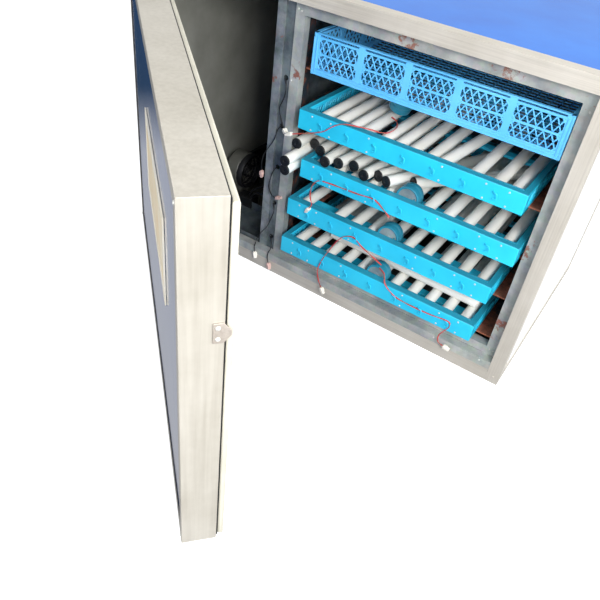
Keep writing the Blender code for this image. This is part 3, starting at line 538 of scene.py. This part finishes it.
# leads out of the divider's wiring holes, each to the connector that its tray plugs into
postLeads = {
    "postLead_1": ("connector", (
        (-0.146, 22, 0.445), (-0.138, 17, 0.436), (-0.137, 15, 0.424), (-0.139, 14, 0.41),
        (-0.147, 14, 0.386), (-0.141, 13, 0.368), (-0.134, 10, 0.358), (-0.127, 7, 0.352))),
    "postLead_2": ("connectorPink", (
        (-0.146, 22, 0.346), (-0.149, 17, 0.338), (-0.153, 14, 0.318), (-0.163, 13, 0.298),
        (-0.174, 13, 0.278), (-0.179, 13, 0.256), (-0.178, 13, 0.236))),
    "postLead_3": ("connectorPink", (
        (-0.146, 22, 0.253), (-0.15, 17, 0.245), (-0.154, 14, 0.228), (-0.156, 13, 0.208),
        (-0.15, 12, 0.194), (-0.14, 10, 0.188), (-0.132, 9, 0.19))),
    "postLead_4": ("connector", (
        (-0.146, 22, 0.164), (-0.14, 17, 0.158), (-0.138, 14, 0.148), (-0.144, 13, 0.126),
        (-0.152, 13, 0.104), (-0.166, 13, 0.082), (-0.175, 11, 0.064), (-0.174, 5, 0.053),
        (-0.172, -2, 0.048), (-0.168, -5, 0.036))),
    "postLead_5": ("connectorPink", (
        (-0.146, 22, 0.076), (-0.139, 16, 0.072), (-0.135, 12, 0.062), (-0.133, 7, 0.054),
        (-0.133, -1, 0.048), (-0.131, -6, 0.038), (-0.126, -8, 0.026))),
}
for name, (plug, route) in postLeads.items():
    makePairLead(name, [(x, frontY + depth / 1000, z) for x, depth, z in route], "cabinet", None,
                 ("blackWire", "blackWire"), plug)
# the top tray's own lead lies in a loop on its rollers, and hangs over the front rail to the post
topLead = [(0.06, 92, 0.4135), (0.075, 84, 0.4125), (0.086, 66, 0.4115), (0.088, 46, 0.4105),
           (0.085, 28, 0.4105), (0.074, 20, 0.411), (0.058, 14, 0.4125), (0.036, 4, 0.4135),
           (0.01, -4, 0.4125), (-0.01, -7, 0.402), (-0.028, -8, 0.386), (-0.052, -8, 0.374),
           (-0.078, -8, 0.364), (-0.098, -8, 0.356)]
makePairLead("tray_1_motorLead", [(x, frontY + depth / 1000, z) for x, depth, z in topLead], "tray_1", None)
print("leads ready")


trayPlan = {"rail": 0.018, "wall": 0.012, "skin": 0.003, "bays": 6, "ribsPerBay": 6, "hooks": 7,
            "hookPitch": 0.059, "hookFirst": 0.053, "hookWire": 0.0012,
            "screws": (0.03, 0.072, 0.155, 0.303, 0.386, 0.428)}


def makeTray(tray):
    # moulded ring: solid front and rear rails, side walls pierced by slanted slots, lips round the rim
    plan = trayPlan
    (left, front, floor), (right, rear, top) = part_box(f"{tray}_frame")
    rail, wall, skin = plan["rail"], plan["wall"], plan["skin"]
    bm = bmesh.new()
    boxInto(bm, (left, front, floor), (right, front + rail, top))
    boxInto(bm, (left, rear - rail, floor), (right, rear, top))
    for sign, edge in ((1, left), (-1, right)):
        a, b = sorted((edge, edge + sign * wall))
        boxInto(bm, (a, front + rail - 0.001, top - 0.0075), (b, rear - rail + 0.001, top - 0.0001))
        boxInto(bm, (a, front + rail - 0.001, floor), (b, rear - rail + 0.001, floor + 0.008))
        bay = (rear - front - 2 * rail) / plan["bays"]
        for x in (edge + sign * 0.0022, edge + sign * (wall - 0.0022)):
            for n in range(plan["bays"] + 1):
                y = min(max(front + rail + n * bay, front + rail + 0.002), rear - rail - 0.002)
                boxInto(bm, (x - skin / 2, y - 0.0035, floor + 0.006),
                        (x + skin / 2, y + 0.0035, top - 0.006))
            for k in range(plan["bays"] * plan["ribsPerBay"]):
                y = front + rail + (k + 0.5) * bay / plan["ribsPerBay"]
                barInto(bm, (x, y - 0.0042, floor + 0.006), (x, y + 0.0042, top - 0.006), 0.0022, skin * 0.9,
                        (1, 0, 0))
    for x, sx in ((left + wall, 1), (right - wall, -1)):  # webs that round off the inner corners
        for y, sy in ((front + rail, 1), (rear - rail, -1)):
            barInto(bm, (x + sx * 0.0015, y + sy * 0.0015, floor + 0.0002),
                    (x + sx * 0.0015, y + sy * 0.0015, top - 0.0003), 0.0035, 0.0035,
                    Vector((sx, sy, 0)).normalized())
    for depth in (0.063, 0.19, 0.3):
        boxInto(bm, (left + 0.004, frontY + depth, floor),
                (right - 0.004, frontY + depth + 0.02, floor + 0.006))
    bmesh.ops.recalc_face_normals(bm, faces=bm.faces)
    bm.normal_update()
    for face in bm.faces:  # the rim's top faces take the darker rim colour: painted shade where the basket and roof shade them
        if face.normal.z > 0.9 and face.calc_center_median().z > top - 0.001:
            face.material_index = 1
    finishPiece(f"{tray}_ring", bm, ("tray", "trayRim"), tray, [f"{tray}_frame"], bevel=0.0011,
                slot="tray_plastic")
    bm = bmesh.new()
    for inset in (0.0004, 0.0135):  # double lip round the rim
        lipWidth = 0.0016
        x0, x1 = left + min(inset, wall - 0.002), right - min(inset, wall - 0.002)
        y0, y1 = front + inset, rear - inset
        for low, high in (((x0, y0), (x1, y0 + lipWidth)), ((x0, y1 - lipWidth), (x1, y1)),
                          ((x0, y0), (x0 + lipWidth, y1)), ((x1 - lipWidth, y0), (x1, y1))):
            boxInto(bm, (*low, top - 0.0006), (*high, top + 0.0007))
    # the lips take the darker rim colour as well: painted shade
    finishPiece(f"{tray}_lips", bm, "trayRim", tray, bevel=0.0003, slot="tray_plastic")
    makeTrayFittings(tray, left, front, top, floor)


def makeTrayFittings(tray, left, front, top, floor):
    # J hooks moulded on the front that hold the leads, and pan screws in pairs
    plan = trayPlan
    bm = bmesh.new()
    for n in range(plan["hooks"]):
        x, z = left + plan["hookFirst"] + n * plan["hookPitch"], top - 0.0185
        hook = [(x - 0.0052, front + 0.0005, z + 0.0042), (x - 0.0036, front - 0.0058, z + 0.005),
                (x + 0.0024, front - 0.0068, z + 0.0046), (x + 0.0044, front - 0.0068, z - 0.0012),
                (x + 0.003, front - 0.0064, z - 0.0066), (x - 0.0024, front - 0.0058, z - 0.0064)]
        sweepInto(bm, smoothRoute(hook, 14), plan["hookWire"], 8)
    finishPiece(f"{tray}_hooks", bm, "tray", tray, slot="tray_plastic")
    bm = bmesh.new()
    for x in plan["screws"]:
        for z in (top - 0.0065, floor + 0.0055):
            rodInto(bm, (left + x, front + 0.0006, z), (left + x, front - 0.0009, z), 0.0022, 12, 0.0014)
    finishPiece(f"{tray}_screws", bm, "screw", tray)


rollerPlan = {"radius": 0.0109, "pitch": 0.0404, "first": 0.0275, "height": 0.0245, "count": 11,
              "capLength": 0.0035}


def rollerInto(bm, start, end, capped=False):
    # tube with a shallow dished end, or with a black plug flush over each end
    start, end = Vector(start), Vector(end)
    radius, length = rollerPlan["radius"], (end - start).length
    dish = 0.0012
    profile = [(0, dish), (radius - 0.0022, dish), (radius - 0.0016, 0.0002), (radius - 0.0005, 0),
               (radius, 0.0006), (radius, length - 0.0006), (radius - 0.0005, length),
               (radius - 0.0016, length - 0.0002), (radius - 0.0022, length - dish), (0, length - dish)]
    turnedInto(bm, profile, start, end - start, 24)
    if capped:
        along = (end - start).normalized()
        r = radius + 0.0003
        for place, aim in ((start - along * 0.0004, along), (end + along * 0.0004, -along)):
            plug = [(0, 0.0012), (0.0028, 0.0012), (0.0034, 0.0002), (r - 0.0012, 0), (r, 0.0009),
                    (r, rollerPlan["capLength"]), (0, rollerPlan["capLength"])]
            turnedInto(bm, plug, place, aim, 24, 1)


def makeTrayRollers(tray):
    plan = rollerPlan
    low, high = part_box(f"{tray}_frame")
    height = low[2] + plan["height"]
    start, end = low[1] + trayPlan["rail"] + 0.0005, high[1] - trayPlan["rail"] - 0.0005
    bm = bmesh.new()
    for n in range(plan["count"]):
        if tray == "tray_3" and n == 1:
            continue
        x = low[0] + plan["first"] + n * plan["pitch"]
        rollerInto(bm, (x, start + 0.033 if n == plan["count"] // 2 else start, height), (x, end, height))
    finishPiece(f"{tray}_rollerSet", bm, "roller", tray, [f"{tray}_rollers"], slot="roller_plastic",
                seams=False)


def makeDrivenRollers():
    for n in range(1, rollerPlan["count"] + 1):
        node = f"tray_4_roller_{n}"
        low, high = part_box(node)
        x, z = (low[0] + high[0]) / 2, (low[2] + high[2]) / 2
        front = low[1] + (0.004 if n != 6 else 0.0)
        bm = bmesh.new()
        rollerInto(bm, (x, front, z), (x, high[1] - 0.004, z))
        rodInto(bm, (x, high[1] - 0.0055, z), (x, high[1], z), 0.003, 12)
        if n != 6:
            rodInto(bm, (x, low[1], z), (x, front + 0.0015, z), 0.003, 12)
        for side in (-1, 1):  # drive flats printed as a faint key line, so the turn shows
            boxInto(bm, (x - 0.0006, front + 0.01, z + side * 0.0106),
                    (x + 0.0006, high[1] - 0.014, z + side * 0.0111))
        finishPiece(f"tray_4_turnedRoller_{n}", bm, "roller", node, [node], slot="roller_plastic")


loosePlan = {"length": 0.3, "longLength": 0.34}
pile = [(-0.022, 0.0, 0, -1.0), (0.001, 0.014, 0, 5.9), (0.029, 0.027, 0, 6.1), (0.062, 0.008, 0, 6.0),
        (0.084, 0.027, 0, 17.0), (0.106, 0.018, 0, 23.8), (0.1475, 0.053, 0, 36.5), (-0.054, 0.033, 0, 0.0),
        (-0.078, 0.05, 0, 0.0), (-0.1015, 0.018, 0.0037, 0.0), (-0.0965, -0.028, -0.0163, 0.0),
        (-0.0965, -0.026, -0.037, 0.0)]
topRow = [(-0.05, 0), (-0.018, 0), (0.014, 0), (0.041, 0), (0.083, 0), (0.113, 0), (0.143, 0), (0.179, 0),
          (0.202, 6.0), (0.264, 0), (0.307, 0), (0.341, 0)]


def lying(x, depth, height, yaw, length):
    yaw = math.radians(yaw)
    start = Vector((x, frontY + depth, height))
    return start, start + Vector((math.sin(yaw), math.cos(yaw), 0)) * length


def makeLooseRollers():
    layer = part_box("tray_2_frame")[1][2] + rollerPlan["radius"] + 0.0004
    bm = bmesh.new()
    for x, depth, lift, yaw in pile:
        rollerInto(bm, *lying(x, depth, layer + lift, yaw, loosePlan["length"]), capped=True)
    finishPiece("spareRollerPile", bm, ("roller", "rollerCap"), "tray_2", ["spare_rollers"],
                slot="roller_plastic", seams=False)
    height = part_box("tray_1_frame")[0][2] + rollerPlan["height"]
    bm = bmesh.new()
    for x, yaw in topRow:
        rollerInto(bm, *lying(x, 0.016, height, yaw, loosePlan["longLength"]))
    finishPiece("tray_1_rollerSet", bm, "roller", "tray_1", ["tray_1_rollers"], slot="roller_plastic",
                seams=False)


def makeLongTube():
    low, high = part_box("long_tube")
    z = (low[2] + high[2]) / 2
    start, end = Vector((-0.013, frontY + 0.074, z)), Vector((0.339, frontY + 0.062, z))
    outer, bore, length = rollerPlan["radius"], 0.0094, (end - start).length
    bm = bmesh.new()
    turnedInto(bm, [(bore, 0.0003), (bore + 0.0005, 0), (outer - 0.0004, 0), (outer, 0.0004),
                    (outer, length - 0.0004), (outer - 0.0004, length), (bore + 0.0005, length),
                    (bore, length - 0.0003), (bore, 0.0003)], start, end - start, 36)
    finishPiece("looseTube", bm, "roller", "tray_4", ["long_tube"], slot="roller_plastic", seams=False)


def makeMotors():
    # turned plastic cap over a round gear can, its front face bare plated steel with a stud and two screws
    for tray in trayNames:
        low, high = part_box(f"{tray}_motor")
        x, z = (low[0] + high[0]) / 2, (low[2] + high[2]) / 2
        start, end = Vector((x, low[1], z)), Vector((x, low[1] + 0.0285, z))
        r = 0.0238
        if tray == "tray_1":
            start, end, r = Vector((0.0565, -0.131, 0.4195)), Vector((0.065, -0.135, 0.444)), 0.0218
        along, length = (end - start).normalized(), (end - start).length
        bm = bmesh.new()
        turnedInto(bm, [(0, 0.0022), (r * 0.8, 0.0022), (r * 0.84, 0.0006), (r * 0.92, 0),
                        (r * 0.985, 0.0008), (r, 0.003), (r, length * 0.45), (r * 0.97, length * 0.48),
                        (r * 0.97, length * 0.54), (r, length * 0.57), (r, length - 0.004),
                        (r * 0.96, length - 0.0015), (r * 0.88, length), (r * 0.55, length),
                        (r * 0.52, length - 0.0015), (0, length - 0.0015)], start, along, 40)
        turnedInto(bm, [(0, 0.0012), (r * 0.2, 0.0012), (r * 0.22, 0.002), (r * 0.8, 0.0021),
                        (r * 0.8, 0.003), (0, 0.003)], start, along, 32, 1)
        for turn in (0.6, 0.6 + math.pi):
            side = along.orthogonal().normalized()
            spot = start + (Matrix.Rotation(turn, 3, along) @ side) * r * 0.62
            rodInto(bm, spot + along * 0.0026, spot + along * 0.001, 0.002, 10, 0.0014)
        finishPiece(f"{tray}_gearMotor", bm, ("motor", "motorFace"), tray, [f"{tray}_motor"],
                    slot="motor_teal", seams=False)


for tray in trayNames:
    makeTray(tray)
for tray in ("tray_2", "tray_3"):
    makeTrayRollers(tray)
makeDrivenRollers()
makeLooseRollers()
makeLongTube()
makeMotors()
print("trays ready")


basketPlan = {"post": 0.0125, "rim": 0.0105, "base": 0.0125, "middle": 0.004, "rib": 0.0022,
              "ribDepth": 0.0022, "wall": 0.0032, "cells": 6}


def bandInto(bm, origin, along, outward, u0, u1, z0, z1, thick, out=0.0):
    start = origin + along * u0 + outward * out
    end = origin + along * u1 + outward * out
    start.z = end.z = (z0 + z1) / 2
    barInto(bm, start, end, z1 - z0, thick, outward)


def latticeInto(bm, origin, along, outward, length, low, high, panels):
    # one wall: rim with its slots, ridged base band, posts, and two rows of crossed ribs in each panel
    plan = basketPlan
    origin, along, outward = Vector(origin), Vector(along), Vector(outward)
    wall, post = plan["wall"], plan["post"]
    bandInto(bm, origin, along, outward, 0, length, high - plan["rim"], high - 0.0062, wall)
    bandInto(bm, origin, along, outward, 0, length, high - 0.003, high - 0.0012, wall + 0.0008)
    bandInto(bm, origin, along, outward, 0, length, high - 0.0014, high, wall + 0.0044, -0.0012)
    bandInto(bm, origin, along, outward, 0, length, low, low + plan["base"], wall)
    for rise in (0.0014, 0.0066, 0.0112):
        bandInto(bm, origin, along, outward, 0, length, low + rise - 0.0008, low + rise + 0.0008,
                 wall + 0.0018)
    inner0, inner1 = low + plan["base"], high - plan["rim"]
    middle = (inner0 + inner1) / 2
    rows = ((inner0, middle - plan["middle"] / 2), (middle + plan["middle"] / 2, inner1))
    bandInto(bm, origin, along, outward, 0.001, length - 0.001, middle - 0.002, middle + 0.002, wall - 0.0005)
    step = (length - post) / panels
    for n in range(panels + 1):
        u = post / 2 + n * step
        bandInto(bm, origin, along, outward, u - post / 2, u + post / 2, inner0 - 0.001, high - 0.002,
                 wall - 0.0002)
        for z0, z1 in rows:
            for side in (-1, 1):  # fillets that curve the posts' sides
                edge = u + side * post / 2
                if not 0.001 < edge < length - 0.001:
                    continue
                for z, lean in ((z0, 1), (z1, -1)):
                    foot = origin + along * (edge + side * 0.0046)
                    head = origin + along * (edge - side * 0.001)
                    foot.z, head.z = z - lean * 0.0004, z + lean * 0.0062
                    barInto(bm, foot, head, 0.003, wall * 0.93, outward)
    for n in range(panels):
        u0 = post + n * step
        u1 = u0 + step - post
        cell = (u1 - u0) / plan["cells"]
        for z0, z1 in rows:
            for k in range(-3, plan["cells"] + 3):
                for sign in (-1, 1):
                    base = u0 + k * cell
                    ends = clipRib(base, base + sign * cell, z0, z1, u0 - 0.0006, u1 + 0.0006)
                    if ends:
                        spots = [origin + along * u for u, _ in ends]
                        for spot, (_, z) in zip(spots, ends):
                            spot.z = z
                        barInto(bm, *spots, plan["rib"], plan["ribDepth"], outward)


def clipRib(ua, ub, za, zb, low, high):
    # the stretch of a slanted rib that lies between two posts
    if max(ua, ub) <= low or min(ua, ub) >= high:
        return None
    slope = (zb - za) / (ub - ua)
    ends = [(min(max(u, low), high), z) for u, z in ((ua, za), (ub, zb))]
    ends = [(u, za + (u - ua) * slope) for u, _ in ends]
    return ends if abs(ends[0][0] - ends[1][0]) > 0.0015 else None


def makeBasket():
    (left, front, floor), (right, rear, top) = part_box("egg_basket")
    half = basketPlan["wall"] / 2 + 0.001
    bm = bmesh.new()
    latticeInto(bm, (left, front + half, floor), (1, 0, 0), (0, -1, 0), right - left, floor, top, 5)
    latticeInto(bm, (right, rear - half, floor), (-1, 0, 0), (0, 1, 0), right - left, floor, top, 5)
    latticeInto(bm, (left + half, rear, floor), (0, -1, 0), (-1, 0, 0), rear - front, floor, top, 4)
    latticeInto(bm, (right - half, front, floor), (0, 1, 0), (1, 0, 0), rear - front, floor, top, 4)
    for n in range(30):
        x = left + 0.004 + n * (right - left - 0.008) / 29
        boxInto(bm, (x - 0.0012, front + 0.003, floor + 0.0006), (x + 0.0012, rear - 0.003, floor + 0.0026))
    for n in range(24):
        y = front + 0.004 + n * (rear - front - 0.008) / 23
        boxInto(bm, (left + 0.003, y - 0.0012, floor + 0.0006), (right - 0.003, y + 0.0012, floor + 0.0028))
    for x in (left + 0.0018, left + 0.0085, right - 0.0085, right - 0.0018):  # stacking ribs up the corners
        boxInto(bm, (x - 0.0012, front - 0.0006, floor + 0.004), (x + 0.0012, front + 0.004, top - 0.008))
    finishPiece("eggBasket", bm, "basket", "basket", ["egg_basket"], bevel=0.0004, steps=1,
                slot="basket_plastic")


makeBasket()
print("basket ready")


# the door is drawn shut in its hinge frame and swung to its resting angle
doorPlan = {"near": 0.0045, "far": 0.8965, "low": 0.0225, "high": 0.6075, "inner": 0.0035, "thick": 0.061,
            "bar": 0.012, "lip": 0.0084, "border": 0.026, "window": (0.405, 0.725, 0.335, 0.475),
            "surround": 0.02, "surroundProud": 0.001, "paneInset": 0.0168, "strikeRivets": (0.4295, 0.4455)}


def doorPiece(name, bm, finish, stands=(), **more):
    bmesh.ops.recalc_face_normals(bm, faces=bm.faces)
    bmesh.ops.transform(bm, matrix=doorSpot, verts=bm.verts)
    return finishPiece(name, bm, finish, "door", stands, **more)


def makeDoor():
    plan = doorPlan
    outer, split = plan["inner"] - plan["thick"], plan["inner"] - plan["lip"]
    near, far, low, high = plan["near"], plan["far"], plan["low"], plan["high"]
    bm = bmesh.new()
    ringInto(bm, near, far, low, high, plan["bar"], outer, split - 0.0022)
    ringInto(bm, near + 0.0002, far - 0.0002, low + 0.0002, high - 0.0002, plan["border"], outer - 0.0004,
             outer + 0.0008)
    doorPiece("doorRim", bm, "doorEdge", ["door_frame"], bevel=0.0008, slot="aluminium")
    # black ring down in the groove between rim and lip: painted shade of the groove
    bm = bmesh.new()
    ringInto(bm, near + 0.003, far - 0.003, low + 0.004, high - 0.004, 0.014, split - 0.0024, split + 0.0002)
    doorPiece("doorGroove", bm, "black")
    bm = bmesh.new()
    ringInto(bm, near + 0.001, far - 0.001, low + 0.008, high - 0.008, 0.022, split, plan["inner"])
    doorPiece("doorLip", bm, "lip", ["door_gasket"], bevel=0.0025, steps=3, slot="gasket")
    x0, x1, z0, z1 = plan["window"]
    bm = bmesh.new()
    ringInto(bm, x0, x1, z0, z1, plan["surround"], outer - plan["surroundProud"], outer + 0.0012)
    doorPiece("windowSurround", bm, "surround", ["window_frame"], bevel=0.0004, steps=2, slot="window_frame")
    bm = bmesh.new()
    inset = plan["paneInset"]
    boxInto(bm, (x0 + inset, outer - 0.0004, z0 + inset), (x1 - inset, outer + 0.005, z1 - inset))
    doorPiece("windowSheet", bm, "acrylic", ["window_pane"], bevel=0.0005, slot="window_pane")
    bm = bmesh.new()
    for z in (high - 0.01, low + 0.01):  # corner rivets of the rim
        rodInto(bm, (far - 0.008, outer, z), (far - 0.008, outer - 0.0018, z), 0.003, 16, 0.0018)
        rodInto(bm, (near + 0.012, outer, z), (near + 0.012, outer - 0.0018, z), 0.003, 16, 0.0018)
    doorPiece("rimRivets", bm, "screw", bevel=0.0003)
    makeStrikePlate(far)


def makeStrikePlate(far):
    # strike plate with a pointed tongue, held by two domed rivets
    outline = [(-0.0205, 0.423), (-0.0085, 0.423), (-0.004, 0.429), (0.0005, 0.434), (0.0005, 0.441),
               (-0.004, 0.446), (-0.0085, 0.452), (-0.0205, 0.452)]
    bm = bmesh.new()
    face = bm.faces.new([bm.verts.new((far + 0.0003, y, z)) for y, z in outline])
    grown = bmesh.ops.extrude_face_region(bm, geom=[face])["geom"]
    bmesh.ops.translate(bm, vec=(0.0018, 0, 0), verts=[v for v in grown if isinstance(v, bmesh.types.BMVert)])
    doorPiece("strikePlate", bm, "plated", ["latch_catch"], bevel=0.0005, slot="motor_steel")
    bm = bmesh.new()
    for z in doorPlan["strikeRivets"]:
        turnedInto(bm, [(0, 0.0024), (0.0014, 0.0022), (0.0028, 0.001), (0.0032, 0), (0, 0)],
                   (far + 0.002, -0.015, z), (1, 0, 0), 20)
    doorPiece("strikeRivets", bm, "screw")


makeDoor()
print("door ready")


blowerPlan = {"depth": 0.202, "height": 0.0945, "radius": 0.045, "blades": 7}


def makeBlower():
    plan = blowerPlan
    low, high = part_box("blower_housing")
    back, mouth = low[0], high[0]
    y, z, r = frontY + plan["depth"], plan["height"], plan["radius"]
    bm = bmesh.new()
    turnedInto(bm, [(0.0052, 0), (r - 0.008, 0), (r - 0.002, 0.002), (r, 0.008), (r, 0.034),
                    (r - 0.0015, 0.036), (r - 0.0015, 0.04), (r - 0.0068, 0.04), (r - 0.0072, 0.004),
                    (0.0052, 0.002), (0.0052, 0)], (back, y, z), (1, 0, 0), 48)
    boxInto(bm, (back + 0.006, y - 0.018, low[2]), (mouth - 0.016, y + 0.018, z - r + 0.004))
    turnedInto(bm, [(r - 0.007, 0.03), (r + 0.0004, 0.0385), (r + 0.0004, 0.048), (r - 0.002, 0.0515),
                    (r - 0.005, 0.0515), (r - 0.0066, 0.046), (r - 0.007, 0.03)], (back, y, z), (1, 0, 0), 48,
               1)
    for ring in (0.012, 0.021, 0.03):  # finger guard over the mouth
        guard = [(y + ring * math.cos(a),
                  z + ring * math.sin(a)) for a in [math.tau * k / 24 for k in range(25)]]
        sweepInto(bm, [(mouth - 0.002, gy, gz) for gy, gz in guard], 0.0008, 6, 1)
    for turn in (0.4, 0.4 + math.tau / 4, 0.4 + math.tau / 2, 0.4 + 3 * math.tau / 4):
        inner = (mouth - 0.0022, y + 0.011 * math.cos(turn), z + 0.011 * math.sin(turn))
        rim = (mouth - 0.0022, y + 0.0395 * math.cos(turn), z + 0.0395 * math.sin(turn))
        sweepInto(bm, [inner, rim], 0.0009, 6, 1)
    finishPiece("blowerShell", bm, ("blower", "black"), "cabinet", ["blower_housing"], slot="blower_plastic",
                seams=False)
    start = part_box("blower_impeller")[0][0]
    bm = bmesh.new()
    turnedInto(bm, [(0.0029, 0), (0.034, 0), (0.0348, 0.001), (0.034, 0.002), (0.013, 0.0025), (0.012, 0.026),
                    (0.009, 0.031), (0, 0.0325), (0, 0.03), (0.0029, 0.0295), (0.0029, 0)], (start, y, z),
               (1, 0, 0), 36)
    for n in range(plan["blades"]):
        for k in range(5):  # each blade is curved in five flats
            r0, r1 = 0.0112 + 0.0045 * k, 0.016 + 0.0045 * k
            a0, a1 = math.tau * n / plan["blades"] + 0.17 * k, math.tau * n / plan["blades"] + 0.17 * (k + 1)
            x = start + 0.015
            barInto(bm, (x, y + r0 * math.cos(a0), z + r0 * math.sin(a0)),
                    (x, y + r1 * math.cos(a1), z + r1 * math.sin(a1)), 0.0014, 0.0265, (1, 0, 0))
    finishPiece("fanWheel", bm, "black", "blower_fan", ["blower_impeller"], slot="dark_trim")


makeBlower()

# black cables and a junction block on the bay floor, clipped along behind the post
bayCables = {
    "bayCable_1": (0.005, [
        (-0.3, 0.15, 0.056), (-0.292, 0.152, 0.07), (-0.27, 0.156, 0.078), (-0.24, 0.162, 0.062),
        (-0.215, 0.17, 0.04), (-0.19, 0.18, 0.0345), (-0.168, 0.19, 0.04), (-0.1605, 0.2, 0.056)]),
    "bayCable_2": (0.0042, [
        (-0.312, 0.16, 0.056), (-0.3, 0.166, 0.076), (-0.276, 0.176, 0.086), (-0.246, 0.186, 0.07),
        (-0.22, 0.196, 0.046), (-0.196, 0.204, 0.035), (-0.172, 0.214, 0.042), (-0.1605, 0.226, 0.062)]),
}


def makeBayWiring():
    bm = bmesh.new()
    x, y, z = -0.318, frontY + 0.156, 0.029
    boxInto(bm, (x - 0.02, y - 0.012, z), (x + 0.024, y + 0.02, z + 0.026))
    for n in range(4):
        rodInto(bm, (x - 0.014 + 0.011 * n, y - 0.006, z + 0.0255),
                (x - 0.014 + 0.011 * n, y - 0.006, z + 0.0275), 0.003, 12)
    finishPiece("junctionBlock", bm, "black", "cabinet", bevel=0.001)
    for name, (width, route) in bayCables.items():
        path = smoothRoute([(px, frontY + depth, pz) for px, depth, pz in route], 32)
        bm = bmesh.new()
        sweepInto(bm, path, width / 2, 12)
        piece = finishPiece(name, bm, "blackWire", "cabinet")


makeBayWiring()
print("blower bay ready")


def makeFrameFittings():
    # pan screws on the inner frame and sill, domed rivets on the stile
    front, right = postLow[1], postHigh[0]
    bm = bmesh.new()
    spots = [(postLow[0] + 0.005, 0.578), (postLow[0] + 0.012, 0.576), (postLow[0] + 0.004, 0.446),
             (right - 0.006, 0.56), (right - 0.013, 0.06), (right - 0.005, 0.06), (0.09, 0.0535),
             (0.342, 0.054)]
    for x, z in spots:
        rodInto(bm, (x, front + 0.0005, z), (x, front - 0.0012, z), 0.0022, 12, 0.0014)
    for x in (0.29, 0.3905):
        rodInto(bm, (x, frontY + 0.0008, 0.04), (x, frontY - 0.0009, 0.04), 0.0022, 12, 0.0014)
    finishPiece("frameScrews", bm, "screw", "cabinet")
    bm = bmesh.new()
    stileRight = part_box("front_stile_right")[1][0]
    for x, z in ((stileRight - 0.012, 0.016), (stileRight - 0.012, 0.604)):
        turnedInto(bm, [(0, 0.0012), (0.0012, 0.0011), (0.0022, 0.0005), (0.0024, 0), (0, 0)], (x, frontY, z),
                   (0, -1, 0), 16)
    finishPiece("stileRivets", bm, "upright", "cabinet", seams=False)


makeFrameFittings()


# CAD nodes that keep their own shape, each with its finish
carried = {
    "base_panel": "base", "roof_panel": "roof", "left_wall_panel": "wallLeft",
    "right_wall_panel": "wallRight", "rear_wall_panel": "wallRear", "front_stile_left": "upright",
    "front_stile_right": "upright", "front_edge_top": "level", "front_edge_bottom": "level",
    "edge_frame": "level", "sill_tube": "zinc", "tray_frame": "zinc", "divider_post": "post",
    "divider_sheet": "zincDark", "left_wall_plinth": "black", "left_runners": "runnerLeft",
    "right_runners": "runnerRight", "heater_element": "sheath", "control_box": "black",
    "water_pan": "zincDark", "temperature_probe": "screw", "hinge_leaf_cabinet": "upright",
    "hinge_leaf_door": "upright", "blower_motor": "sheath", "door_panel": "doorSkin",
}
for node, finish in carried.items():
    slots = frame["nodes"][node].data.materials
    slots.clear()
    slots.append(finishes[finish])
# tray 3's lead and its connector get mesh data of their own
for name in ("tray_3_motorLead", "tray_3_motorLeadConnector"):
    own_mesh(bpy.data.objects[name])
print("carried nodes dressed")
